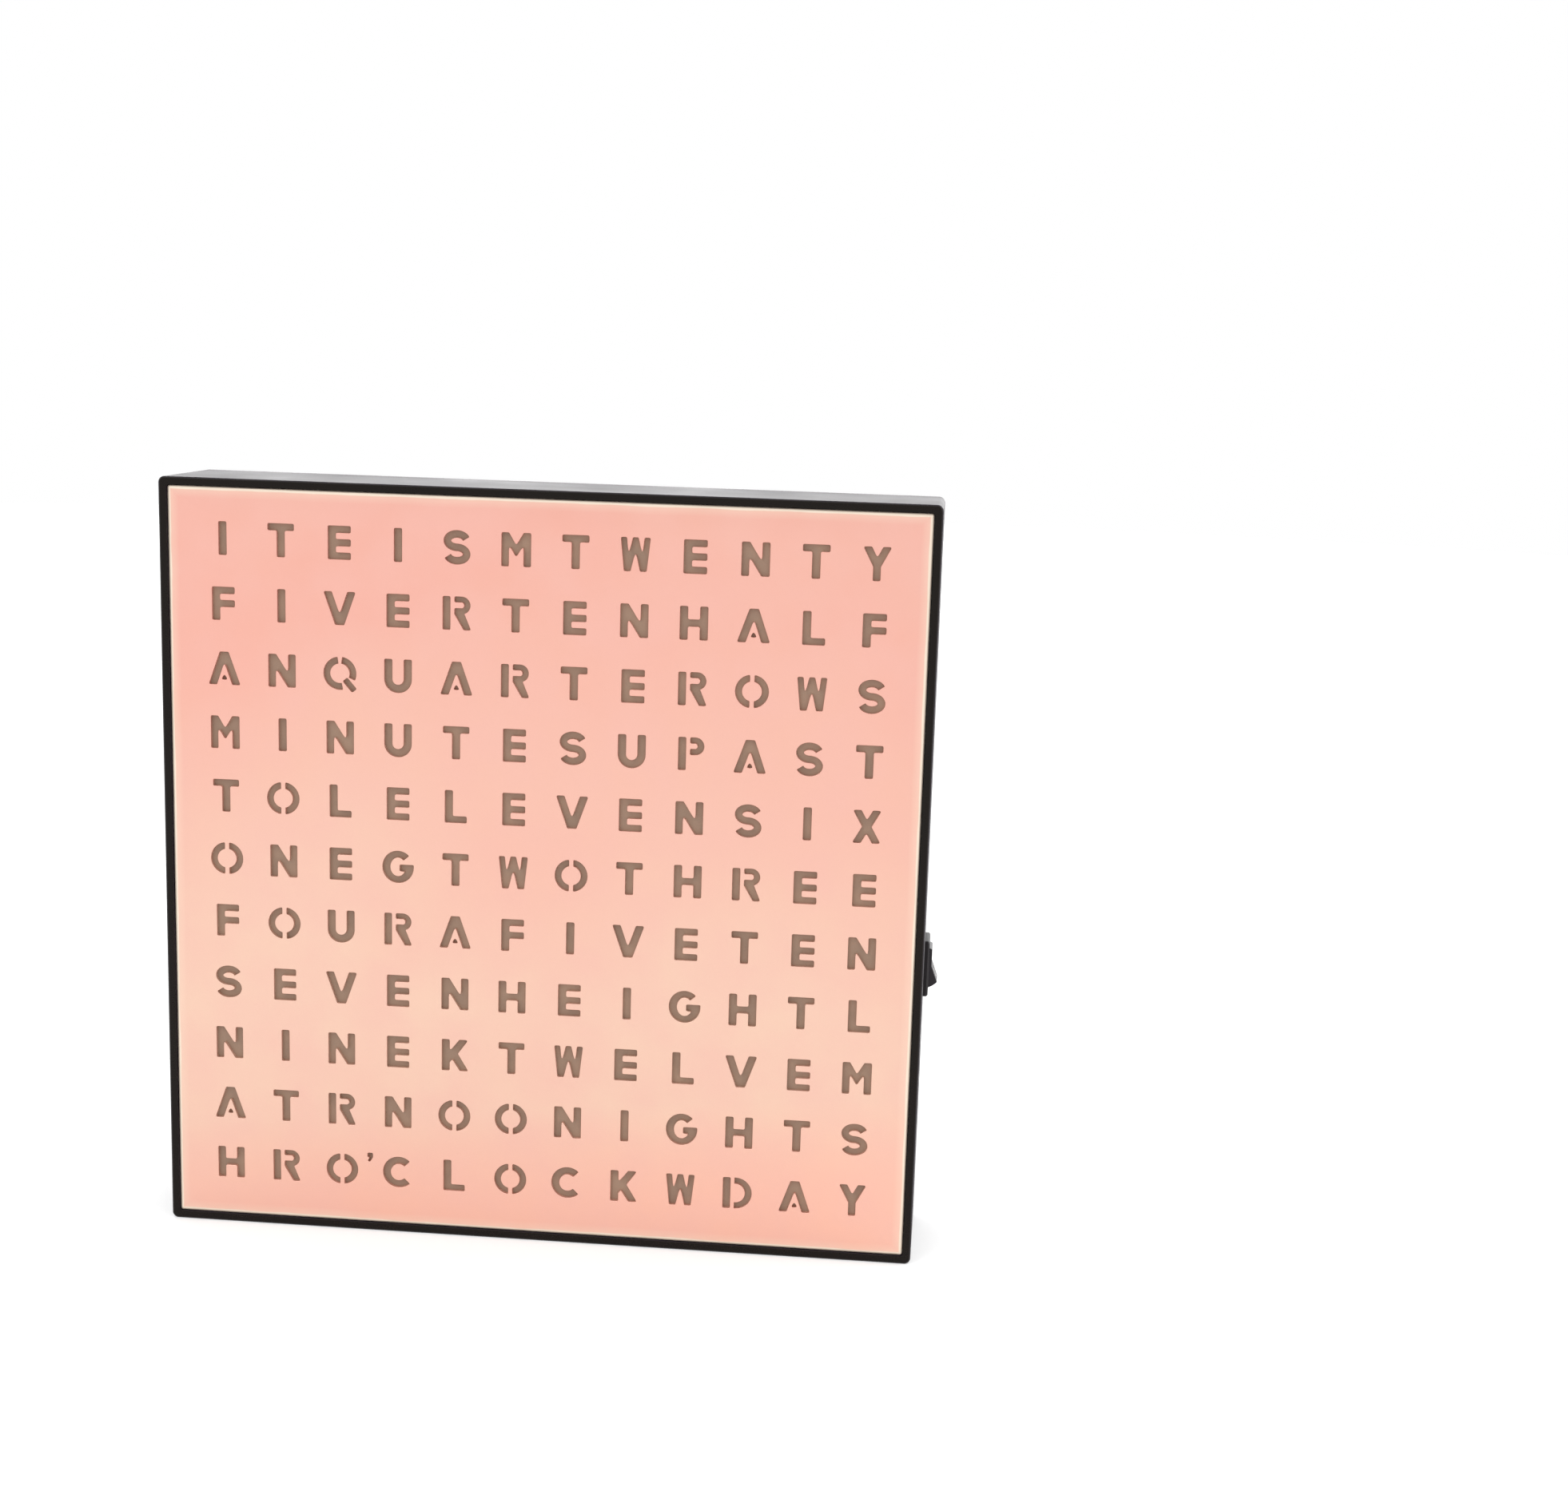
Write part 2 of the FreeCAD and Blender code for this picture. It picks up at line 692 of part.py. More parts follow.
def make_socket_terminals():
    """Two tabs from the socket down to the board, one behind it and one at its side."""
    rear = block(
        (socket_back - TAB_THICKNESS, socket_back),
        (board_back, SOCKET_DEPTH + PIN_RADIUS),
        around(SOCKET_HEIGHT, TAB_WIDTH),
    )
    low_side = SOCKET_HEIGHT - SOCKET_WIDTH / 2 + SOCKET_SHOULDER
    side = block(
        around((socket_face + socket_back) / 2, TAB_WIDTH),
        (board_back, SOCKET_DEPTH),
        (low_side - TAB_THICKNESS, low_side),
    )
    return [rear, side]


# --------------------------------------------------------------------- power switch


def make_rocker_housing():
    """Switch body and bezel, pushed into the wall and held by two snap wedges."""
    bezel = block(
        (right_face, bezel_face),
        around(ROCKER_DEPTH, BEZEL_WIDTH),
        around(rocker_height, BEZEL_HEIGHT),
    )
    bezel = rounded(bezel, BEZEL_CORNER, X_AXIS)
    bezel = bezel.makeChamfer(BEZEL_EDGE, loop_at_x(bezel, bezel_face))
    body = block(
        (rocker_back, right_face),
        around(ROCKER_DEPTH, ROCKER_BODY_WIDTH),
        around(rocker_height, ROCKER_BODY_HEIGHT),
    )
    wedges = [snap_wedge(side) for side in (-1, 1)]
    well = block(
        (rocker_back + WELL_FLOOR, bezel_face),
        around(ROCKER_DEPTH, PADDLE_WIDTH + 2 * PADDLE_SIDE_CLEARANCE),
        around(rocker_height, 2 * (PADDLE_RADIUS + PADDLE_END_CLEARANCE)),
    )
    bearing = trunnions(ROCKER_BODY_WIDTH, TRUNNION_RADIUS + TRUNNION_CLEARANCE)
    return joined([bezel, body] + wedges).cut([well, bearing])


def snap_wedge(side):
    """Ramp on the top or bottom of the switch body that catches behind the wall."""
    edge = rocker_height + side * ROCKER_BODY_HEIGHT / 2
    catch = right_inside - CUTOUT_CLEARANCE
    corners = (
        (catch - SNAP_LENGTH, edge),
        (catch, edge),
        (catch, edge + side * SNAP_PROUD),
    )
    near = at_depth(ROCKER_DEPTH - SNAP_WIDTH / 2)
    points = [FreeCAD.Vector(x, near, z) for x, z in corners]
    outline = Part.makePolygon(points + points[:1])
    return Part.Face(outline).extrude(Y_AXIS * SNAP_WIDTH)


def trunnions(length, radius):
    """Cylinder along the line that the paddle tips about."""
    front, back = around(ROCKER_DEPTH, length)
    return rod_y(paddle_axis_x, front, back, rocker_height, radius)


def make_rocker_paddle():
    """Paddle with two faces that meet in a shallow V, tipped with its top pushed in."""
    tilt = math.radians(PADDLE_TILT)
    valley = PADDLE_FACE_DISTANCE / math.cos(tilt)
    # The face runs outwards from the valley until it meets the paddle's round end.
    along = -PADDLE_FACE_DISTANCE * math.tan(tilt)
    along += math.sqrt(PADDLE_RADIUS**2 - valley**2 + along**2)
    rim_out = valley + along * math.sin(tilt)
    rim_up = along * math.cos(tilt)
    skirt_up = math.sqrt(PADDLE_RADIUS**2 - PADDLE_SKIRT**2)

    near = at_depth(ROCKER_DEPTH - PADDLE_WIDTH / 2)

    def place(out, up):
        return FreeCAD.Vector(paddle_axis_x + out, near, rocker_height + up)

    def line(start, end):
        return Part.LineSegment(start, end).toShape()

    def end_arc(side):
        start, middle = place(rim_out, side * rim_up), place(0, side * PADDLE_RADIUS)
        end = place(-PADDLE_SKIRT, side * skirt_up)
        return Part.Arc(start, middle, end).toShape()

    edges = [
        line(place(valley, 0), place(rim_out, rim_up)),
        end_arc(1),
        line(place(-PADDLE_SKIRT, skirt_up), place(-PADDLE_SKIRT, -skirt_up)),
        end_arc(-1),
        line(place(rim_out, -rim_up), place(valley, 0)),
    ]
    outline = Part.Wire(Part.__sortEdges__(edges))
    paddle = Part.Face(outline).extrude(Y_AXIS * PADDLE_WIDTH)
    pins = trunnions(ROCKER_BODY_WIDTH - 2 * TRUNNION_GAP, TRUNNION_RADIUS)
    paddle = joined([paddle, pins])
    centre = FreeCAD.Vector(paddle_axis_x, 0, rocker_height)
    return paddle.rotated(centre, Y_AXIS, -PADDLE_TILT)


def make_rocker_terminals():
    """Two blades at the back of the switch."""
    return [
        block(
            (blade_end, rocker_back),
            around(ROCKER_DEPTH, BLADE_WIDTH),
            around(z, BLADE_THICKNESS),
        )
        for z in blade_heights
    ]


# ---------------------------------------------------------------------------- leads


def make_switch_lead(blade_height, lead_height):
    """Round lead from a blade of the switch to the plug, trimmed to both their faces."""
    start = FreeCAD.Vector(blade_end, at_depth(ROCKER_DEPTH), blade_height)
    run = FreeCAD.Vector(plug_face, at_depth(lead_depth), lead_height) - start
    spare = run * (LEAD_DIAMETER / run.Length)
    length = (run + spare * 2).Length
    lead = Part.makeCylinder(LEAD_DIAMETER / 2, length, start - spare, run)
    return lead.common(block((plug_face, blade_end), (0, DEPTH), (0, HEIGHT)))


def make_lead_plug():
    """Plug on the leads' ends, pushed into the header from the switch's side."""
    slack = 2 * (HEADER_WALL + PLUG_CLEARANCE)
    floor = header_face - HEADER_LENGTH + HEADER_FLOOR
    return block(
        (floor, plug_face),
        around(lead_depth, HEADER_HEIGHT - slack),
        around(rocker_height, HEADER_WIDTH - slack),
    )


def make_lead_header():
    """Header on the board, open towards the switch for the plug."""
    back = header_face - HEADER_LENGTH
    shell = block(
        (back, header_face),
        (board_back, board_back + HEADER_HEIGHT),
        around(rocker_height, HEADER_WIDTH),
    )
    room = block(
        (back + HEADER_FLOOR, header_face),
        around(lead_depth, HEADER_HEIGHT - 2 * HEADER_WALL),
        around(rocker_height, HEADER_WIDTH - 2 * HEADER_WALL),
    )
    return shell.cut(room)


# ------------------------------------------------------------------------- assembly

nodes = {
    "housing": make_housing(),
    "rear_cover": make_rear_cover(),
    "cover_screws": make_cover_screws(),
    "faceplate": make_faceplate(),
    "diffuser": make_diffuser(),
    "adhesive_frame": make_adhesive_frame(),
    "light_baffle": make_light_baffle(),
    "led_board": make_led_board(),
    "leds": make_leds(),
    "controller_chip": make_controller_chip(),
    "led_driver_chips": make_led_driver_chips(),
    "clock_crystal": make_clock_crystal(),
    "smoothing_capacitors": make_smoothing_capacitors(),
    "plus_button": make_button(plus_height, PLUS_NECK_WIDTH),
    "minus_button": make_button(minus_height, MINUS_NECK_WIDTH),
    "plus_switch_body": make_tact_body(plus_height),
    "minus_switch_body": make_tact_body(minus_height),
    "plus_switch_plunger": make_plunger(plus_height),
    "minus_switch_plunger": make_plunger(minus_height),
    "dc_jack_body": make_socket_body(),
    "dc_jack_pin": make_socket_pin(),
    "dc_jack_terminals": make_socket_terminals(),
    "rocker_housing": make_rocker_housing(),
    "rocker_paddle": make_rocker_paddle(),
    "rocker_terminals": make_rocker_terminals(),
    "switch_lead_live": make_switch_lead(blade_heights[0], lead_heights[0]),
    "switch_lead_return": make_switch_lead(blade_heights[1], lead_heights[1]),
    "lead_plug": make_lead_plug(),
    "lead_header": make_lead_header(),
}

os.makedirs("parts", exist_ok=True)
for name, shape in nodes.items():
    whole = Part.makeCompound(shape) if isinstance(shape, list) else shape
    if not whole.isValid():
        raise ValueError(f"{name} is not a valid shape")
    whole.exportStep(f"parts/{name}.step")
    print(f"{name}: {len(whole.Solids)} solids, {whole.Volume:.1f} mm3")
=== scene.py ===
import math

import bmesh
import bpy
from mathutils import Matrix, Vector


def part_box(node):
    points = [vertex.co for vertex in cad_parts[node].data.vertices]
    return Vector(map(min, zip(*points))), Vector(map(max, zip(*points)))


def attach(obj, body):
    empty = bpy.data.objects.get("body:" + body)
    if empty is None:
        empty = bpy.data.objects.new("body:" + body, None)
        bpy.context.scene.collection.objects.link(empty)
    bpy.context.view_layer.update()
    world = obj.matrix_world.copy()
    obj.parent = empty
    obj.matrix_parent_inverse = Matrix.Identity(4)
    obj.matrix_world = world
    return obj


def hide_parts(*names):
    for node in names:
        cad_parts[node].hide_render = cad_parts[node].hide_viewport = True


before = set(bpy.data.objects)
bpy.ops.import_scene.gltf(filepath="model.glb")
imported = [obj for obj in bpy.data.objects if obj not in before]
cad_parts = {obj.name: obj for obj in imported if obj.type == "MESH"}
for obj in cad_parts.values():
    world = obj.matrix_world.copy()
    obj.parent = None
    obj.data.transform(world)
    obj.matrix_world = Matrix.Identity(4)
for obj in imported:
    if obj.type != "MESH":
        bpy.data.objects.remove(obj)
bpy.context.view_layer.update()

# Lengths are in millimetres unless a name ends in _M.
MM = 0.001


def box_mm(node):
    """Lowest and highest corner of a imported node."""
    return [Vector(corner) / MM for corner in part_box(node)]


CASE_LOW, CASE_HIGH = box_mm("housing")
PLATE_LOW, PLATE_HIGH = box_mm("faceplate")
PLATE_HALF = (PLATE_HIGH.x - PLATE_LOW.x) / 2
MIDDLE_HEIGHT = (PLATE_HIGH.z + PLATE_LOW.z) / 2

# ------------------------------------------------------------------------ camera
CAMERA_PLACE_M = (0.10278, -0.54815, 0.2317)
CAMERA_FORWARD = (-0.07667, 0.98079, -0.17938)
CAMERA_UP = (-0.04621, 0.17622, 0.98327)
CAMERA_LENS = 49.608
CAMERA_SENSOR = 36.0

# ------------------------------------------------------------------------- light
LIGHT_TARGET_M = (0, 0, 0.1)
# Name, place in metres, size in metres and power in watts.
SOFTBOXES = (
    ("key", (-1.0, -1.2, 1.6), (1.2, 1.2), 8),
    ("fill", (1.9, 0.5, 0.9), (1.4, 1.4), 16),
    ("rear", (-0.2, 2.2, 0.5), (2.6, 0.8), 14),
    ("ceiling", (0, 0, 4.5), (6, 6), 60),
)
FLOOR_RINGS_M = (0.5, 1.2, 2.6)
FLOOR_SIDES = 48
FLOOR_GLOW = 0.32

# -------------------------------------------------------------------- letter grid
WORDS = (
    "ITEISMTWENTY",
    "FIVERTENHALF",
    "ANQUARTEROWS",
    "MINUTESUPAST",
    "TOLELEVENSIX",
    "ONEGTWOTHREE",
    "FOURAFIVETEN",
    "SEVENHEIGHTL",
    "NINEKTWELVEM",
    "ATRNOONIGHTS",
    "HROCLOCKWDAY",
)
COLUMN_PITCH = 15.0
ROW_PITCH = 16.5
# The letters stand a little high in their cells.
LETTER_ROW_PITCH = 16.55
LETTER_SHIFT = (0.25, 0.7)
APOSTROPHE_ROW = 10
APOSTROPHE_COLUMN = 2.5
APOSTROPHE_RISE = 3.6

# Half the height of a capital, and the widths of its upright, level and round strokes.
TALL = 4.25
STEM = 2.1
SLIM_STEM = 2.0
BEAM = 1.8
THIN = 1.6
# Metal left between the parts of a stencil letter.
BRIDGE = 1.0
SOFT_CORNER = 0.42
# A softened corner takes at most this share of each side.
CORNER_SHARE = 0.45
SAME_POINT = 0.01

# Edge of the plate, rounded over a width and a drop, and the bevel of its cuts.
PLATE_CORNER = 0.65
SMALLEST_CORNER = 0.1
PLATE_EDGE_WIDTH = 0.8
PLATE_EDGE_DROP = 0.4
PLATE_EDGE_STEPS = 4
CUT_EDGE = 0.07
CORNER_STEPS = 6
CURVE_STEPS = 14

# -------------------------------------------------------------------- wall marks
PRINT_THICKNESS = 0.03
OUTSIDE = 150.0
# Places on the right wall, behind the front of the case and above its foot.
MARK_DEPTH = 10.1
PLUS_HEIGHT = 59.1
MINUS_HEIGHT = 47.4
MARK_LENGTH = 5.4
MARK_STROKE = 1.0
MARK_CORNER = 0.15
ROCKER_MARK_OFFSET = 2.1
ROCKER_BAR = (0.34, 1.7)
ROCKER_RING_RADII = (0.76, 1.04)

# ------------------------------------------------------------------------ screws
SCREW_INSET = 4.7
SCREW_COLUMNS = (CASE_LOW.x + SCREW_INSET, CASE_HIGH.x - SCREW_INSET)
SCREW_ROWS = (CASE_LOW.z + SCREW_INSET, CASE_HIGH.z - SCREW_INSET)
SCREW_TIP, SCREW_FACE = (corner.y for corner in box_mm("cover_screws"))
SCREW_RADIUS = 1.0
SCREW_TIP_RADIUS = 0.45
SCREW_HEAD_RADIUS = 1.9
SCREW_SIDES = 36
THREAD_PITCH = 0.8
THREAD_DEPTH = 0.17
THREAD_SHARPNESS = 0.7
THREAD_ROWS = 91
# Steps round the edge of the head: down from its face, and in from its full radius.
HEAD_EDGE = ((0.06, 0.06), (0.03, 0.03), (0.0, 0.1))
RECESS_DEPTH = 1.15
RECESS_FLOOR_SHARE = 0.2
RECESS_REACH = 1.25
RECESS_HALF_WIDTH = 0.3

# ----------------------------------------------------------------------- finishes
# Plastic this near to a sharp edge turns lighter, by this share: rubbed wear, and on the rocker a
# painted highlight.
WEAR_AND_SHEEN_REACH = 0.25
WEAR_AND_SHEEN_SHARE = 0.6
FLOW_MARK_SIZE = 22.0
# How far behind the front of the case its rim, painted darker and brownish as shade and also
# smoother, fades into the walls.
RIM_FADE = (0.05, 0.3)
# Heights over which painted reflection turns the face from pink to peach, a painted glow near its
# foot fades out, and the painted reflection turns back to pink.
LOWER_REFLECTION_RISE = (0.0, 36.0)
LOWER_PAINTED_GLOW = (10.0, 36.0)
UPPER_REFLECTION_FALL = (60.0, 165.0)
# How far in from the plate's edge its painted highlight starts and ends: a soft pale band and a
# bright line at the edge.
EDGE_SHEEN_BAND = (2.95, 0.95)
EDGE_HIGHLIGHT_LINE = (1.0, 0.75)
# Radii between which an LED's yellow disc gives way to its white cup.
LED_DOME = (1.05, 1.15)


# ----------------------------------------------------------------- flat outlines
def block(left, low, right, high):
    return [(left, low), (right, low), (right, high), (left, high)]


def arc(centre, radii, start, end, steps=CURVE_STEPS):
    """Points on an ellipse's arc, angles in degrees."""
    points = []
    for i in range(steps + 1):
        angle = math.radians(start + (end - start) * i / steps)
        x = centre[0] + radii[0] * math.cos(angle)
        points.append((x, centre[1] + radii[1] * math.sin(angle)))
    return points


def mirrored(points):
    return [(-x, y) for x, y in reversed(points)]


def area(loop):
    pairs = zip(loop, loop[1:] + loop[:1])
    return sum(a[0] * b[1] - b[0] * a[1] for a, b in pairs) / 2


def anticlockwise(loop):
    """The loop without repeated points, turned the usual way round."""
    steps = [(Vector(p) - Vector(loop[i - 1])).length for i, p in enumerate(loop)]
    loop = [p for p, step in zip(loop, steps) if step > SAME_POINT]
    return loop if area(loop) > 0 else loop[::-1]


def offset_at(points, i, distance, closed):
    """Point i moved sideways to the right of the path, mitred with both its runs."""
    here = Vector(points[i])
    before = Vector(points[i - 1]) if closed or i else None
    after = Vector(points[(i + 1) % len(points)]) if closed or i + 1 < len(points) else None
    runs = [(here - before) if before else None, (after - here) if after else None]
    normals = [Vector((r.y, -r.x)).normalized() for r in runs if r]
    if len(normals) == 1:
        return tuple(here + normals[0] * distance)
    total = normals[0] + normals[1]
    return tuple(here + total * (distance / (1 + normals[0].dot(normals[1]))))


def grown(loop, distance):
    """Closed anticlockwise loop moved outwards."""
    return [offset_at(loop, i, distance, True) for i in range(len(loop))]


def stroke(path, width):
    """Closed outline of a pen stroke along an open path."""
    count = range(len(path))
    right = [offset_at(path, i, width / 2, False) for i in count]
    left = [offset_at(path, i, -width / 2, False) for i in count]
    return right + left[::-1]


def softened(loop, radius, turn=25, steps=3):
    """The loop with its sharp corners rounded."""
    made = []
    for i, here in enumerate(loop):
        here = Vector(here)
        back = Vector(loop[i - 1]) - here
        on = Vector(loop[(i + 1) % len(loop)]) - here
        inside = back.angle(on)
        if inside > math.radians(180 - turn):
            made.append(tuple(here))
            continue
        room = min(back.length, on.length) * CORNER_SHARE
        reach = min(radius / math.tan(inside / 2), room)
        start, end = here + back.normalized() * reach, here + on.normalized() * reach
        for k in range(steps + 1):
            t = k / steps
            point = start * (1 - t) ** 2 + here * (2 * t * (1 - t)) + end * t**2
            made.append(tuple(point))
    return made


# ------------------------------------------------------------------------ glyphs
def both_sides(points):
    """A loop from its right half, which runs upwards."""
    return points + mirrored(points)


def band(centre, outer, thick, start, end, steps=CURVE_STEPS):
    """Part of an elliptical ring, from one angle anticlockwise to another."""
    inner = (outer[0] - thick[0], outer[1] - thick[1])
    return arc(centre, outer, start, end, steps) + arc(centre, inner, end, start, steps)


def ring_half():
    """Right half of the stencil O, with upright ends beside its bridges."""
    outer, inner, gap = TALL, TALL - THIN - 0.15, BRIDGE / 2 + 0.05
    far, near = (math.degrees(math.asin(gap / r)) for r in (outer, inner))
    centre = (0, 0)
    return arc(centre, (outer, outer), far - 90, 90 - far) + arc(
        centre, (inner, inner), 90 - near, near - 90
    )


def bowl(left, right, low, thick, tail=()):
    """Half ring beside a stem, level at its top and bottom, or with a leg for a tail."""
    high = (TALL - low) / 2
    reach = min(high, right - left)
    centre = (right - reach, low + high)
    outer = arc(centre, (reach, high), 90, -72 if tail else -90)
    inner = arc(centre, (reach - thick - 0.1, high - thick), -90, 90)
    return (
        [(left, TALL)] + outer + list(tail) + [(left, low), (left, low + thick)] + inner
        + [(left, TALL - thick)]
    )


def stem(left):
    return block(left, -TALL, left + SLIM_STEM, TALL)


def bars(left, right, levels):
    """Comb of level strokes on a stem at the left."""
    loop = [(left, -TALL), (left + STEM, -TALL)]
    for low in levels:
        loop += [(left + STEM, low), (right, low), (right, low + BEAM), (left + STEM, low + BEAM)]
    loop += [(left + STEM, TALL), (left, TALL)]
    return [p for i, p in enumerate(loop) if p != loop[i - 1]]


def glyph_g():
    outer = arc((0, 0), (4.1, TALL), 45, 360, 30)
    inner = arc((0, 0), (4.1 - STEM, TALL - BEAM), 329, 45, 26)
    return outer + [(4.1, 0.65), (0.4, 0.65), (0.4, -1.1)] + inner


def glyph_s():
    half = TALL - BEAM / 2
    upper = arc((0, half / 2), (2.45, half / 2), 18, 262, 20)
    lower = arc((0, -half / 2), (2.45, half / 2), 82, -162, 20)
    return stroke(upper + lower, BEAM + 0.1)


def glyph_u():
    side = 2.5
    low = side + BEAM / 2 - TALL
    foot = arc((0, low), (side, side), 180, 360, 18)
    return stroke([(-side, TALL)] + foot + [(side, TALL)], STEM)


def glyph_q():
    """The O's ring parted at the top and round a slanting tail."""
    around = ((0, 0), (TALL, TALL), (THIN + 0.15,) * 2)
    left = band(*around, 98, 281, 20)
    right = band(*around, -24, 82, 14)
    return [left, right, stroke([(1.3, -1.5), (3.75, -4.35)], THIN)]


LEG = ((3.7, -TALL), (1.8, -TALL))
V_HALF = [(0, -TALL), (1.15, -TALL), (4.15, TALL), (2.0, TALL), (0, -1.5)]
GLYPHS = {
    "A": [[(x, -y) for x, y in both_sides(V_HALF)], [(-0.9, -2.95), (0.9, -2.95), (0, -1.45)]],
    "C": [band((0.2, 0), (TALL, TALL), (STEM, STEM - 0.1), 46, 314, 26)],
    "D": [stem(-3.8), bowl(-3.8 + SLIM_STEM + BRIDGE, 3.8, -TALL, THIN + 0.1)],
    "E": [bars(-2.95, 2.95, (-TALL, -BEAM / 2, TALL - BEAM))],
    "F": [bars(-2.95, 2.95, (-BEAM / 2, TALL - BEAM))],
    "G": [glyph_g()],
    "H": [both_sides([(0, -0.9), (1.5, -0.9), (1.5, -TALL), (3.55, -TALL), (3.55, TALL),
                      (1.5, TALL), (1.5, 0.95), (0, 0.95)])],
    "I": [block(-STEM / 2, -TALL, STEM / 2, TALL)],
    "K": [[(-3.4, -TALL), (-1.3, -TALL), (-1.3, -2.0), (-0.6, -1.2), (1.4, -TALL), (3.7, -TALL),
           (0.85, 0.45), (3.6, TALL), (1.25, TALL), (-1.3, 1.0), (-1.3, TALL), (-3.4, TALL)]],
    "L": [bars(-2.85, 2.85, (-TALL,))],
    "M": [both_sides([(0, -1.9), (1.85, 1.2), (1.85, -TALL), (3.75, -TALL), (3.75, TALL),
                      (1.85, TALL), (0, 1.1)])],
    "N": [[(-3.55, -TALL), (-1.6, -TALL), (-1.6, 0.6), (1.5, -TALL), (3.55, -TALL), (3.55, TALL),
           (1.6, TALL), (1.6, -0.6), (-1.5, TALL), (-3.55, TALL)]],
    "O": [ring_half(), mirrored(ring_half())],
    "P": [stem(-3.2), bowl(-3.2 + SLIM_STEM + BRIDGE, 3.4, -0.3, THIN)],
    "Q": glyph_q(),
    "R": [stem(-3.6), bowl(-3.6 + SLIM_STEM + BRIDGE, 3.5, -0.2, THIN - 0.1, LEG)],
    "S": [glyph_s()],
    "T": [both_sides([(0, -TALL), (STEM / 2, -TALL), (STEM / 2, TALL - BEAM), (3.4, TALL - BEAM),
                      (3.4, TALL)])],
    "U": [glyph_u()],
    "V": [both_sides(V_HALF)],
    "W": [both_sides([(0, 0.85), (1.2, -TALL), (2.85, -TALL), (3.75, TALL), (2.2, TALL),
                      (1.75, -0.2), (0.7, TALL)])],
    "X": [both_sides([(0, -1.7), (1.45, -TALL), (3.6, -TALL), (1.2, 0), (3.6, TALL),
                      (1.45, TALL), (0, 1.7)])],
    "Y": [both_sides([(0, -TALL), (0.95, -TALL), (0.95, -0.7), (3.55, TALL), (1.4, TALL),
                      (0, 1.55)])],
    "'": [[(-0.1, -1.3), (0.75, 0.1), (0.75, 1.3), (-0.75, 1.3), (-0.75, 0.1), (-0.15, -0.1),
           (-0.7, -0.9)]],
}


def glyph(letter, middle):
    """The letter's cuts, corners softened, about a place on the plate."""
    cuts = []
    for loop in GLYPHS[letter]:
        loop = softened(anticlockwise(loop), SOFT_CORNER)
        cuts.append([(x + middle[0], y + middle[1]) for x, y in loop])
    return cuts


def all_cuts():
    cuts = []
    left = LETTER_SHIFT[0] - COLUMN_PITCH * (len(WORDS[0]) - 1) / 2
    top = MIDDLE_HEIGHT + LETTER_SHIFT[1] + LETTER_ROW_PITCH * (len(WORDS) - 1) / 2
    for j, word in enumerate(WORDS):
        for i, letter in enumerate(word):
            cuts += glyph(letter, (left + COLUMN_PITCH * i, top - LETTER_ROW_PITCH * j))
    across = left + COLUMN_PITCH * APOSTROPHE_COLUMN
    up = top - LETTER_ROW_PITCH * APOSTROPHE_ROW + APOSTROPHE_RISE
    return cuts + glyph("'", (across, up))


# ------------------------------------------------------------------------ meshes
def ring(bm, points):
    """Closed ring of vertices through points in millimetres."""
    return [bm.verts.new(Vector(p) * MM) for p in points]


def skin(bm, first, second):
    """Quads between two rings of as many vertices."""
    count = len(first)
    for i in range(count):
        k = (i + 1) % count
        bm.faces.new((first[i], first[k], second[k], second[i]))


def edges_of(bm, verts):
    pairs = zip(verts, verts[1:] + verts[:1])
    return [bm.edges.get(pair) or bm.edges.new(pair) for pair in pairs]


def filled(bm, rings):
    """Flat triangles between an outer ring and the holes in it."""
    edges = [edge for verts in rings for edge in edges_of(bm, verts)]
    bmesh.ops.triangle_fill(bm, edges=edges, use_beauty=True)


def loft(bm, loops):
    """Closed solid through rings of as many points, with flat ends."""
    rings = [ring(bm, points) for points in loops]
    for first, second in zip(rings, rings[1:]):
        skin(bm, first, second)
    bm.faces.new(rings[0][::-1])
    bm.faces.new(rings[-1])


def piece(name, bm, material, sharp=35):
    """Object from a mesh, smooth apart from edges that turn more than sharp degrees."""
    bmesh.ops.recalc_face_normals(bm, faces=bm.faces)
    mesh = bpy.data.meshes.new(name)
    bm.to_mesh(mesh)
    bm.free()
    mesh.shade_smooth()
    mesh.set_sharp_from_angle(angle=math.radians(sharp))
    made = bpy.data.objects.new(name, mesh)
    bpy.context.scene.collection.objects.link(made)
    made.data.materials.append(material)
    return made


def upright(loop, depth):
    """Flat loop stood up in the plane of the face."""
    return [(x, depth, z) for x, z in loop]


def plate_outline(half, corner):
    """Rounded square, with the same points for every corner radius."""
    loop = []
    for turn, (sx, sz) in enumerate(((1, 1), (-1, 1), (-1, -1), (1, -1))):
        centre = (sx * (half - corner), MIDDLE_HEIGHT + sz * (half - corner))
        loop += arc(centre, (corner, corner), 90 * turn, 90 * turn + 90, CORNER_STEPS)
    return loop


def stencil_plate(material):
    """The metal face with every letter cut through it."""
    front, back = PLATE_LOW.y, PLATE_HIGH.y
    bm = bmesh.new()
    stations = [(0, back - front)]
    for k in range(PLATE_EDGE_STEPS + 1):
        turn = math.pi / 2 * k / PLATE_EDGE_STEPS
        inward = PLATE_EDGE_WIDTH * (1 - math.cos(turn))
        stations.append((inward, PLATE_EDGE_DROP * (1 - math.sin(turn))))
    outer = []
    for inward, down in stations:
        corner = max(PLATE_CORNER - inward, SMALLEST_CORNER)
        loop = plate_outline(PLATE_HALF - inward, corner)
        outer.append(ring(bm, upright(loop, front + down)))
    for first, second in zip(outer, outer[1:]):
        skin(bm, first, second)
    fronts, backs = [outer[-1]], [outer[0]]
    for cut in all_cuts():
        wide = ring(bm, upright(grown(cut, CUT_EDGE), front))
        lip = ring(bm, upright(cut, front + CUT_EDGE))
        far = ring(bm, upright(cut, back))
        skin(bm, wide, lip)
        skin(bm, lip, far)
        fronts.append(wide)
        backs.append(far)
    filled(bm, fronts)
    filled(bm, backs)
    plate = piece("stencil_plate", bm, material)
    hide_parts("faceplate")
    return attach(plate, "clock")


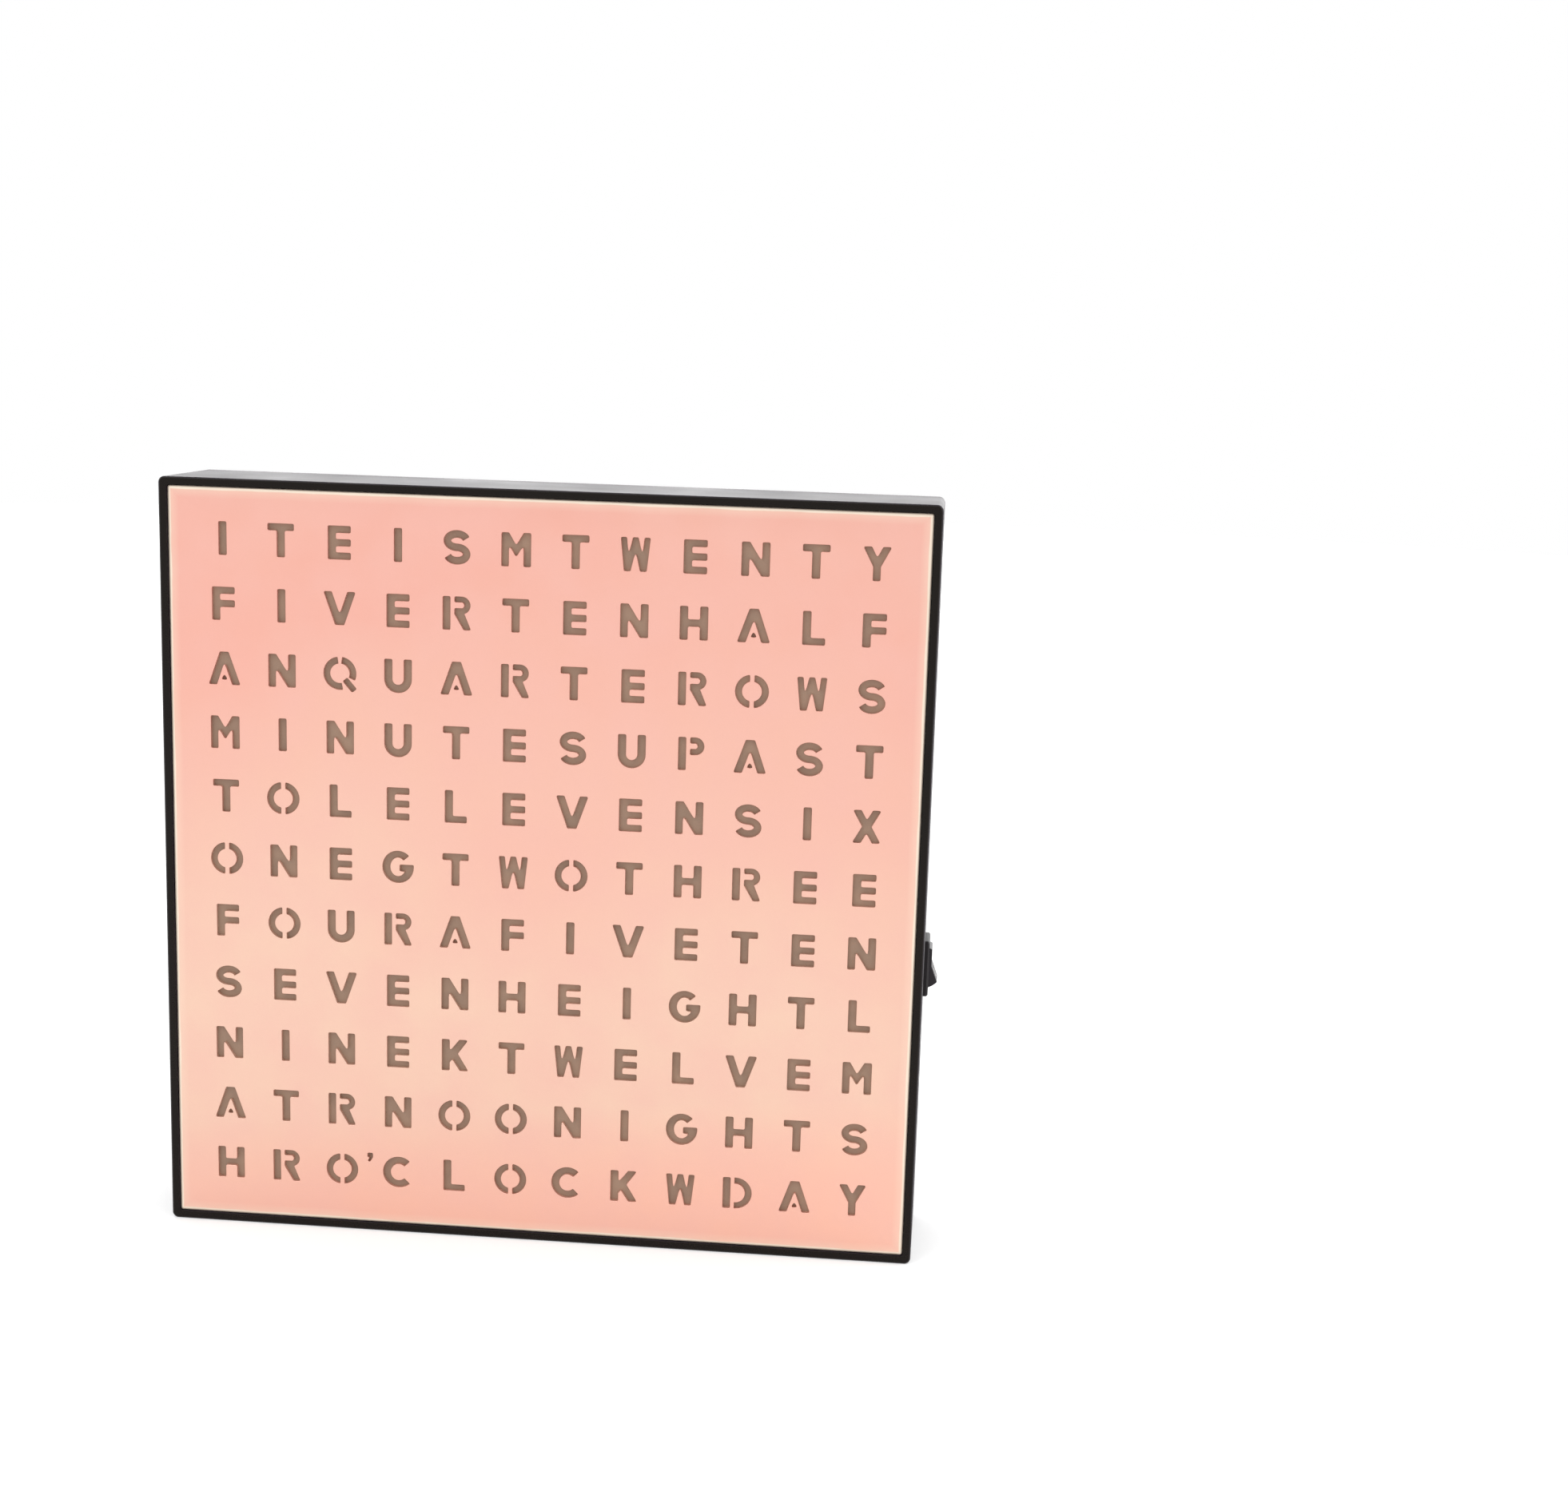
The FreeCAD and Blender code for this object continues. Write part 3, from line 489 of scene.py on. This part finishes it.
def printed(name, loops, node, body, material):
    """Thin ink on whatever part of a node faces right; each loop is depth and height."""
    bm = bmesh.new()
    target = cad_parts[node]
    for loop in loops:
        hits = []
        for y, z in loop:
            start = Vector((OUTSIDE, y, z)) * MM
            hit, place, _, _ = target.ray_cast(start, Vector((-1, 0, 0)))
            if not hit:
                raise RuntimeError(name + " is off " + node)
            hits.append(place / MM)
        out = [(p.x + PRINT_THICKNESS, p.y, p.z) for p in hits]
        loft(bm, [hits, out])
    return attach(piece(name, bm, material), body)


def ring_parts(centre, radii, parts=20):
    """A ring as quads, which lets the ink follow the surface under it."""
    inner = arc(centre, (radii[0],) * 2, 0, 360, parts)
    outer = arc(centre, (radii[1],) * 2, 0, 360, parts)
    return [[inner[i], outer[i], outer[i + 1], inner[i + 1]] for i in range(parts)]


def cross(centre, length, width):
    a, b = length / 2, width / 2
    corners = [(b, a), (-b, a), (-b, b), (-a, b), (-a, -b), (-b, -b), (-b, -a), (b, -a),
               (b, -b), (a, -b), (a, b), (b, b)]
    return [(centre[0] + x, centre[1] + y) for x, y in corners]


def wall_marks(material):
    depth = CASE_LOW.y + MARK_DEPTH
    plus = cross((depth, PLUS_HEIGHT), MARK_LENGTH, MARK_STROKE)
    printed("plus_mark", [softened(plus, MARK_CORNER)], "housing", "clock", material)
    long, high = MARK_LENGTH / 2, MARK_STROKE / 2
    minus = block(depth - long, MINUS_HEIGHT - high, depth + long, MINUS_HEIGHT + high)
    printed("minus_mark", [softened(minus, MARK_CORNER)], "housing", "clock", material)


def rocker_marks(material):
    low, high = box_mm("rocker_paddle")
    y, z = (low.y + high.y) / 2, (low.z + high.z) / 2
    upper, lower = z + ROCKER_MARK_OFFSET, z - ROCKER_MARK_OFFSET
    wide, tall = ROCKER_BAR[0] / 2, ROCKER_BAR[1] / 2
    bar = block(y - wide, upper - tall, y + wide, upper + tall)
    printed("on_mark", [bar], "rocker_paddle", "rocker", material)
    off = ring_parts((y, lower), ROCKER_RING_RADII)
    printed("off_mark", off, "rocker_paddle", "rocker", material)


# ------------------------------------------------------------------------ screws
def around_axis(x, z, y, radius_at):
    """Ring about a line along the depth."""
    points = []
    for i in range(SCREW_SIDES):
        angle = 2 * math.pi * i / SCREW_SIDES
        radius = radius_at(i / SCREW_SIDES)
        points.append((x + radius * math.cos(angle), y, z + radius * math.sin(angle)))
    return points


def even(radius):
    """The same radius all the way round."""
    return lambda turn: radius


def thread_radius(y):
    """How far the thread stands out round the shank, at a depth."""
    def at(turn):
        phase = (y / THREAD_PITCH - turn) % 1
        return SCREW_RADIUS - THREAD_DEPTH * abs(2 * phase - 1) ** THREAD_SHARPNESS
    return at


def screw_loops(x, z):
    """Rings from the tip up the thread to the face of a countersunk head."""
    neck = SCREW_FACE - (SCREW_HEAD_RADIUS - SCREW_RADIUS)
    loops = [around_axis(x, z, SCREW_TIP, even(SCREW_TIP_RADIUS))]
    for k in range(1, THREAD_ROWS):
        y = SCREW_TIP + (neck - SCREW_TIP) * k / THREAD_ROWS
        loops.append(around_axis(x, z, y, thread_radius(y)))
    loops.append(around_axis(x, z, neck, even(SCREW_RADIUS)))
    for down, inward in HEAD_EDGE:
        loops.append(around_axis(x, z, SCREW_FACE - down, even(SCREW_HEAD_RADIUS - inward)))
    return loops


def recess_loops(x, z):
    """Mouth and floor of the tapering cross that a driver fits."""
    loops = []
    for y, share in ((SCREW_FACE, 1.0), (SCREW_FACE - RECESS_DEPTH, RECESS_FLOOR_SHARE)):
        flat = cross((x, z), 2 * RECESS_REACH * share, 2 * RECESS_HALF_WIDTH * math.sqrt(share))
        loops.append(upright(flat, y))
    return loops


def screw(bm, x, z):
    """One closed screw with a cross recess, about a line along the depth."""
    rings = [ring(bm, points) for points in screw_loops(x, z)]
    for first, second in zip(rings, rings[1:]):
        skin(bm, first, second)
    bm.faces.new(rings[0][::-1])
    mouth, floor = (ring(bm, points) for points in recess_loops(x, z))
    filled(bm, [rings[-1], mouth])
    skin(bm, mouth, floor)
    filled(bm, [floor])


def cover_screws(material):
    bm = bmesh.new()
    for x in SCREW_COLUMNS:
        for z in SCREW_ROWS:
            screw(bm, x, z)
    screws = piece("countersunk_screws", bm, material, sharp=30)
    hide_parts("cover_screws")
    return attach(screws, "clock")


# --------------------------------------------------------------------- materials
LOOK = "_look"


class Finish:
    """A node material: a Principled shader and the textures that drive it."""

    def __init__(self, name, roughness=0.5, metallic=0.0, specular=0.5):
        self.material = bpy.data.materials.new(name + LOOK)
        self.material.use_nodes = True
        self.tree = self.material.node_tree
        self.shader = self.tree.nodes["Principled BSDF"]
        self.set("Roughness", roughness)
        self.set("Metallic", metallic)
        self.set("Specular IOR Level", specular)
        scale = self.add("ShaderNodeMapping")
        scale.inputs["Scale"].default_value = (1 / MM,) * 3
        place = self.add("ShaderNodeTexCoord")
        self.tree.links.new(place.outputs["Object"], scale.inputs["Vector"])
        self.where = scale.outputs["Vector"]
        self.normal = None

    def add(self, kind, **values):
        node = self.tree.nodes.new(kind)
        for key, value in values.items():
            setattr(node, key, value)
        return node

    def feed(self, socket, value):
        if isinstance(value, bpy.types.NodeSocket):
            self.tree.links.new(value, socket)
        elif isinstance(value, (tuple, list)) and len(value) == 3 and socket.type == "RGBA":
            socket.default_value = (*value, 1)
        else:
            socket.default_value = value

    def set(self, name, value):
        self.feed(self.shader.inputs[name], value)

    def stretched(self, factors):
        """Position with its axes scaled, for grain that runs one way."""
        node = self.add("ShaderNodeVectorMath", operation="MULTIPLY")
        self.feed(node.inputs[0], self.where)
        node.inputs[1].default_value = factors
        return node.outputs[0]

    def noise(self, size, detail=2.0, where=None, roughness=0.5):
        """Noise with features about that many millimetres across, 0 to 1."""
        node = self.add("ShaderNodeTexNoise")
        self.feed(node.inputs["Vector"], where or self.where)
        self.feed(node.inputs["Scale"], 1 / size)
        self.feed(node.inputs["Detail"], detail)
        self.feed(node.inputs["Roughness"], roughness)
        return node.outputs["Fac"]

    def cells(self, size, feature="F1"):
        node = self.add("ShaderNodeTexVoronoi", feature=feature)
        self.feed(node.inputs["Vector"], self.where)
        self.feed(node.inputs["Scale"], 1 / size)
        return node.outputs["Distance"]

    def spread(self, value, low, high, start=0.3, end=0.7):
        """Maps start..end of a value to low..high."""
        node = self.add("ShaderNodeMapRange")
        for i, v in enumerate((value, start, end, low, high)):
            self.feed(node.inputs[i], v)
        return node.outputs[0]

    def math(self, operation, first, second=0.0):
        node = self.add("ShaderNodeMath", operation=operation)
        self.feed(node.inputs[0], first)
        self.feed(node.inputs[1], second)
        return node.outputs[0]

    def mix(self, share, first, second, blend="MIX"):
        node = self.add("ShaderNodeMix", data_type="RGBA", blend_type=blend)
        self.feed(node.inputs["Factor"], share)
        self.feed(node.inputs[6], first)
        self.feed(node.inputs[7], second)
        return node.outputs[2]

    def axis(self, name):
        node = self.add("ShaderNodeSeparateXYZ")
        self.feed(node.inputs[0], self.where)
        return node.outputs[name]

    def bump(self, height, depth, strength=1.0):
        """Relief of that many millimetres on top of what is there."""
        node = self.add("ShaderNodeBump")
        self.feed(node.inputs["Height"], height)
        self.feed(node.inputs["Distance"], depth * MM)
        self.feed(node.inputs["Strength"], strength)
        if self.normal:
            self.tree.links.new(self.normal, node.inputs["Normal"])
        self.normal = node.outputs["Normal"]
        self.set("Normal", self.normal)

    def edges(self):
        """1 near a sharp edge, 0 on flats."""
        bevel = self.add("ShaderNodeBevel", samples=4)
        bevel.inputs["Radius"].default_value = WEAR_AND_SHEEN_REACH * MM
        real = self.add("ShaderNodeNewGeometry")
        dot = self.add("ShaderNodeVectorMath", operation="DOT_PRODUCT")
        self.tree.links.new(bevel.outputs[0], dot.inputs[0])
        self.tree.links.new(real.outputs["Normal"], dot.inputs[1])
        return self.spread(dot.outputs["Value"], 1.0, 0.0, 0.85, 0.995)


def moulded_colour(f, fine, cloud, dark, light, wear_and_sheen):
    """Grain between two shades, flow marks in the lighter one, and lighter edges: rubbed wear, and
    on the rocker a painted highlight.
    """
    colour = f.mix(f.spread(fine, 0.0, 1.0), dark, light)
    colour = f.mix(f.spread(cloud, 0.0, 0.35), colour, light)
    if wear_and_sheen:
        colour = f.mix(f.math("MULTIPLY", f.edges(), WEAR_AND_SHEEN_SHARE), colour, wear_and_sheen)
    return colour


def moulded(name, dark, light, grain, relief, gloss, wear_and_sheen=None, **values):
    """Moulded plastic: eroded grain, faint flow marks, gloss that varies, lighter edges for wear
    and, on the rocker, a painted highlight.
    """
    f = Finish(name, **values)
    fine, cloud = f.noise(grain, 3.0, roughness=0.6), f.noise(FLOW_MARK_SIZE, 3.0)
    f.set("Base Color", moulded_colour(f, fine, cloud, dark, light, wear_and_sheen))
    uneven = f.math("ADD", f.math("MULTIPLY", cloud, 0.6), f.math("MULTIPLY", fine, 0.4))
    f.set("Roughness", f.spread(uneven, *gloss))
    f.bump(fine, relief)
    f.bump(f.cells(grain * 2.2), relief * 0.6)
    return f.material


def case_plastic():
    """Black case: satin walls with faint flow marks, painted lighter as light falling on them, and
    a smoother front rim painted darker and brownish: painted shade and a painted reflection of the
    copper face.
    """
    f = Finish("case_plastic", specular=0.15)
    dark, light, wear_and_sheen = (0.0230, 0.0175, 0.0220), (0.0320, 0.0255, 0.0310), (0.052, 0.046, 0.050)
    fine, cloud = f.noise(0.35, 3.0, roughness=0.6), f.noise(FLOW_MARK_SIZE, 3.0)
    lit_wall = moulded_colour(f, fine, cloud, dark, light, wear_and_sheen)
    # Painted shade on the front rim, darker and brownish with a painted reflection of the copper
    # face; the walls' lighter shades are painted light.
    front = f.mix(f.spread(fine, 0.0, 1.0), (0.0042, 0.0022, 0.0012), (0.0068, 0.0040, 0.0023))
    shaded_rim = f.spread(f.axis("Y"), 1.0, 0.0, *(CASE_LOW.y + back for back in RIM_FADE))
    f.set("Base Color", f.mix(shaded_rim, lit_wall, front))
    uneven = f.math("ADD", f.math("MULTIPLY", cloud, 0.6), f.math("MULTIPLY", fine, 0.4))
    satin, smoother = f.spread(uneven, 0.35, 0.46), f.math("MULTIPLY", shaded_rim, 0.14)
    f.set("Roughness", f.math("SUBTRACT", satin, smoother))
    f.bump(fine, 0.012)
    f.bump(f.cells(0.77), 0.007)
    return f.material


def metal(name, dark, light, grain, relief=0.004, gloss=(0.2, 0.35), run=(1, 1, 1)):
    """Metal: drawn or blasted grain, which may run one way, and slightly uneven tarnish."""
    f = Finish(name, metallic=1.0)
    fine = f.noise(grain, 2.0, f.stretched(run))
    cloud = f.noise(4.0, 3.0)
    colour = f.mix(f.spread(cloud, 0.0, 1.0), dark, light)
    f.set("Base Color", f.mix(f.spread(fine, 0.0, 0.4), colour, dark))
    f.set("Roughness", f.spread(f.math("ADD", fine, cloud), *gloss, 0.7, 1.3))
    f.bump(fine, relief)
    return f.material


def face_metal():
    """Satin copper-pink sheet: blasted grain, tint that drifts at random, painted reflection that
    turns it peach low down, a painted glow near its foot, and a painted highlight along its rounded
    edge.
    """
    f = Finish("face_metal", metallic=0.6, specular=0.5)
    salmon, peach, pale = (0.79, 0.40, 0.325), (0.785, 0.53, 0.41), (0.80, 0.46, 0.40)
    # Painted reflection: the face turns from pink near the top to peach low down.
    height = f.axis("Z")
    leaning = f.math("SUBTRACT", height, f.math("MULTIPLY", f.axis("X"), 0.1))
    rising = f.spread(leaning, 0.35, 1.0, *LOWER_REFLECTION_RISE)
    falling = f.spread(height, 1.0, 0.0, *UPPER_REFLECTION_FALL)
    painted_reflection = f.math("MULTIPLY", rising, falling)
    drift = f.spread(f.noise(70.0, 2.0), -0.2, 0.2)
    colour = f.mix(f.math("ADD", painted_reflection, drift), salmon, peach)
    # Painted glow near the foot of the face.
    colour = f.mix(f.spread(leaning, 0.8, 0.0, *LOWER_PAINTED_GLOW), colour, (0.85, 0.465, 0.355))
    patch = f.noise(14.0, 3.0)
    colour = f.mix(f.spread(patch, 0.0, 0.4), colour, pale)
    grain = f.noise(0.16, 2.0)
    colour = f.mix(f.spread(grain, 0.0, 0.10), colour, (0.64, 0.37, 0.29))
    # Painted highlight along the plate's rounded edge: a soft pale band and a bright line.
    across = f.math("ABSOLUTE", f.axis("X"))
    along = f.math("ABSOLUTE", f.math("SUBTRACT", height, MIDDLE_HEIGHT))
    out = f.math("ADD", f.math("MAXIMUM", across, along), f.spread(patch, -0.15, 0.15))
    band = f.spread(out, 0.0, 0.45, *(PLATE_HALF - inward for inward in EDGE_SHEEN_BAND))
    colour = f.mix(band, colour, (0.84, 0.62, 0.49))
    edge = f.spread(out, 0.0, 0.85, *(PLATE_HALF - inward for inward in EDGE_HIGHLIGHT_LINE))
    f.set("Base Color", f.mix(edge, colour, (0.86, 0.76, 0.62)))
    f.set("Roughness", f.spread(f.math("ADD", patch, grain), 0.36, 0.48, 0.7, 1.3))
    f.bump(grain, 0.004)
    return f.material


def diffuser_sheet():
    """Milky sheet, unlit, painted a warm grey as shade for the dark inside behind it, with faint
    haze and a satin skin.
    """
    f = Finish("diffuser_sheet", specular=0.35)
    haze = f.noise(6.0, 3.0)
    fine = f.noise(0.25, 2.0)
    # Painted shade: the sheet is warm grey, not milky white, for the dark inside behind the face.
    colour = f.mix(f.spread(haze, 0.0, 1.0), (0.245, 0.16, 0.112), (0.315, 0.205, 0.143))
    f.set("Base Color", f.mix(f.spread(fine, 0.0, 0.3), colour, (0.355, 0.24, 0.17)))
    f.set("Roughness", f.spread(haze, 0.45, 0.6))
    f.bump(fine, 0.003)
    return f.material


def board_laminate():
    """Green solder mask over copper tracks and woven glass."""
    f = Finish("board_laminate", specular=0.5)
    tracks = f.add("ShaderNodeTexBrick")
    f.feed(tracks.inputs["Vector"], f.where)
    for key, value in (("Scale", 0.13), ("Mortar Size", 0.03), ("Mortar Smooth", 0.1)):
        f.feed(tracks.inputs[key], value)
    across = f.noise(0.5, 1.0, f.stretched((6, 1, 1)))
    upwards = f.noise(0.5, 1.0, f.stretched((1, 1, 6)))
    weave = f.math("ADD", f.math("MULTIPLY", across, 0.5), f.math("MULTIPLY", upwards, 0.5))
    mask = f.mix(f.spread(weave, 0.0, 1.0), (0.012, 0.060, 0.028), (0.018, 0.085, 0.040))
    f.set("Base Color", f.mix(tracks.outputs["Fac"], mask, (0.04, 0.17, 0.07)))
    f.set("Roughness", f.spread(weave, 0.25, 0.4))
    f.bump(tracks.outputs["Fac"], 0.03)
    f.bump(weave, 0.006)
    return f.material


def led_package():
    """White moulded cup with a yellow phosphor disc in the middle of each LED."""
    f = Finish("led_package", roughness=0.4)
    squares = []
    between_rows = MIDDLE_HEIGHT - ROW_PITCH / 2
    for axis, pitch, start in (("X", COLUMN_PITCH, 0.0), ("Z", ROW_PITCH, between_rows)):
        shifted = f.math("DIVIDE", f.math("SUBTRACT", f.axis(axis), start), pitch)
        local = f.math("SUBTRACT", f.math("FRACT", shifted), 0.5)
        squares.append(f.math("POWER", f.math("MULTIPLY", local, pitch), 2.0))
    distance = f.math("SQRT", f.math("ADD", *squares))
    dome = f.spread(distance, 1.0, 0.0, *LED_DOME)
    grain = f.noise(0.2, 2.0)
    white = f.mix(f.spread(grain, 0.0, 1.0), (0.74, 0.73, 0.69), (0.82, 0.81, 0.78))
    yellow = f.mix(f.spread(grain, 0.0, 1.0), (0.80, 0.62, 0.16), (0.86, 0.70, 0.22))
    f.set("Base Color", f.mix(dome, white, yellow))
    f.set("Roughness", f.spread(dome, 0.45, 0.2, 0.0, 1.0))
    f.bump(grain, 0.003)
    return f.material


def printed_ink():
    """Opaque white pad print, slightly thin in places."""
    f = Finish("print_white", specular=0.4)
    fine, patch = f.noise(0.12, 3.0), f.noise(0.8, 2.0)
    colour = f.mix(f.spread(fine, 0.0, 0.4), (0.80, 0.79, 0.77), (0.62, 0.61, 0.60))
    f.set("Base Color", f.mix(f.spread(patch, 0.0, 0.25), colour, (0.45, 0.44, 0.43)))
    f.set("Roughness", f.spread(fine, 0.45, 0.6))
    f.bump(fine, 0.004)
    return f.material


def white_floor():
    """White paper on a light table, whose glow leaves the shadows faint."""
    f = Finish("studio_paper", specular=0.1)
    fine = f.noise(1.5, 3.0)
    f.set("Base Color", f.mix(f.spread(fine, 0.0, 1.0), (0.68, 0.68, 0.68), (0.71, 0.71, 0.71)))
    f.set("Emission Color", (1, 1, 1))
    f.set("Emission Strength", FLOOR_GLOW)
    f.set("Roughness", f.spread(fine, 0.85, 0.95))
    f.bump(fine, 0.02)
    return f.material


def cad_finishes():
    """A finish for every slot of the record that stays on its own node."""
    glossy = ((0.0060, 0.0058, 0.0062), (0.0110, 0.0106, 0.0112))
    satin = ((0.0170, 0.0130, 0.0165), (0.0240, 0.0190, 0.0235))
    bezel = ((0.0095, 0.0075, 0.0088), (0.0145, 0.0115, 0.0135))
    grey = ((0.05, 0.05, 0.052), (0.09, 0.09, 0.092))
    ivory = ((0.66, 0.62, 0.52), (0.76, 0.72, 0.62))
    # The lighter edge colour given to the rocker is a painted highlight; the one given to the cover
    # is wear.
    painted_edge_sheen, edged = (0.095, 0.088, 0.090), (0.048, 0.043, 0.047)
    sleeve = (0.5, 0.008, (0.35, 0.5))
    made = [
        case_plastic(),
        moulded("cover_plastic", *satin, 0.6, 0.035, (0.42, 0.55), edged, specular=0.25),
        moulded("adhesive_tape", (0.02, 0.02, 0.02), (0.05, 0.05, 0.05), 0.4, 0.03, (0.75, 0.9)),
        moulded("baffle_plastic", (0.62, 0.61, 0.58), (0.74, 0.73, 0.70), 0.3, 0.01, (0.5, 0.65)),
        moulded("chip_epoxy", (0.012, 0.012, 0.013), (0.024, 0.024, 0.025), 0.15, 0.01, (0.5, 0.7)),
        moulded("capacitor_resin", (0.62, 0.31, 0.04), (0.80, 0.44, 0.08), 0.3, 0.008, (0.35, 0.5)),
        moulded("switch_plastic", *glossy, 0.25, 0.006, (0.35, 0.5)),
        moulded("plunger_plastic", *grey, 0.25, 0.006, (0.3, 0.45)),
        moulded("rocker_body_plastic", *bezel, 0.3, 0.008, (0.32, 0.44), painted_edge_sheen, specular=0.22),
        moulded("rocker_paddle_plastic", *satin, 0.25, 0.006, (0.28, 0.4), painted_edge_sheen, specular=0.26),
        moulded("socket_plastic", *glossy, 0.25, 0.005, (0.3, 0.45), (0.04, 0.04, 0.04)),
        moulded("red_insulation", (0.42, 0.012, 0.010), (0.55, 0.022, 0.016), *sleeve),
        moulded("black_insulation", (0.010, 0.010, 0.010), (0.022, 0.022, 0.022), *sleeve),
        moulded("connector_plastic", *ivory, 0.3, 0.006, (0.35, 0.5)),
        metal("can_metal", (0.55, 0.55, 0.57), (0.72, 0.72, 0.74), 0.3),
        metal("contact_metal", (0.62, 0.60, 0.55), (0.80, 0.78, 0.73), 0.25, run=(0.2, 1, 1)),
        metal("pin_metal", (0.60, 0.59, 0.56), (0.80, 0.79, 0.77), 0.15, run=(0.15, 1, 1)),
        metal("screw_steel", (0.10, 0.10, 0.105), (0.19, 0.19, 0.20), 0.12, 0.006, (0.3, 0.45)),
        diffuser_sheet(),
        board_laminate(),
        led_package(),
    ]
    return {material.name.removesuffix(LOOK): material for material in made}


def dress_nodes(finishes):
    """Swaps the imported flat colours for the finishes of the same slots."""
    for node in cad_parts.values():
        for i, old in enumerate(node.data.materials):
            name = old.name.split(".")[0]
            if name in finishes:
                node.data.materials[i] = finishes[name]


# ------------------------------------------------------------------------- stage
def camera():
    forward, up = Vector(CAMERA_FORWARD).normalized(), Vector(CAMERA_UP).normalized()
    right = forward.cross(up).normalized()
    lens = bpy.data.cameras.new("camera")
    lens.lens, lens.sensor_width, lens.sensor_fit = CAMERA_LENS, CAMERA_SENSOR, "HORIZONTAL"
    made = bpy.data.objects.new("camera", lens)
    turn = Matrix((right, right.cross(forward), -forward)).transposed()
    made.matrix_world = Matrix.Translation(CAMERA_PLACE_M) @ turn.to_4x4()
    bpy.context.scene.collection.objects.link(made)
    bpy.context.scene.camera = made


def add_softbox(name, place, size, power):
    """Large soft light that faces the object, unseen by the camera."""
    light = bpy.data.lights.new(name, "AREA")
    light.shape, light.energy = "RECTANGLE", power
    light.size, light.size_y = size
    made = bpy.data.objects.new(name, light)
    turn = (Vector(LIGHT_TARGET_M) - Vector(place)).to_track_quat("-Z", "Y")
    made.matrix_world = Matrix.Translation(place) @ turn.to_matrix().to_4x4()
    made.visible_camera = False
    bpy.context.scene.collection.objects.link(made)


def studio():
    """White surroundings and four soft lights."""
    world = bpy.data.worlds.new("studio")
    world.use_nodes = True
    world.node_tree.nodes["Background"].inputs["Color"].default_value = (1, 1, 1, 1)
    world.node_tree.nodes["Background"].inputs["Strength"].default_value = 1.0
    bpy.context.scene.world = world
    bpy.context.scene.view_settings.view_transform = "Standard"
    for softbox in SOFTBOXES:
        add_softbox(*softbox)


def paper_ground():
    """Round sheet of paper that the clock stands on."""
    bm = bmesh.new()
    rings = []
    last = 360 - 360 / FLOOR_SIDES
    for radius in FLOOR_RINGS_M:
        loop = arc((0, 0), (radius / MM,) * 2, 0, last, FLOOR_SIDES - 1)
        rings.append(ring(bm, [(x, y, 0) for x, y in loop]))
    bm.faces.new(rings[0])
    for first, second in zip(rings, rings[1:]):
        skin(bm, first, second)
    piece("floor", bm, white_floor())


finishes = cad_finishes()
dress_nodes(finishes)
stencil_plate(face_metal())
ink = printed_ink()
wall_marks(ink)
rocker_marks(ink)
cover_screws(finishes["screw_steel"])
studio()
paper_ground()
camera()
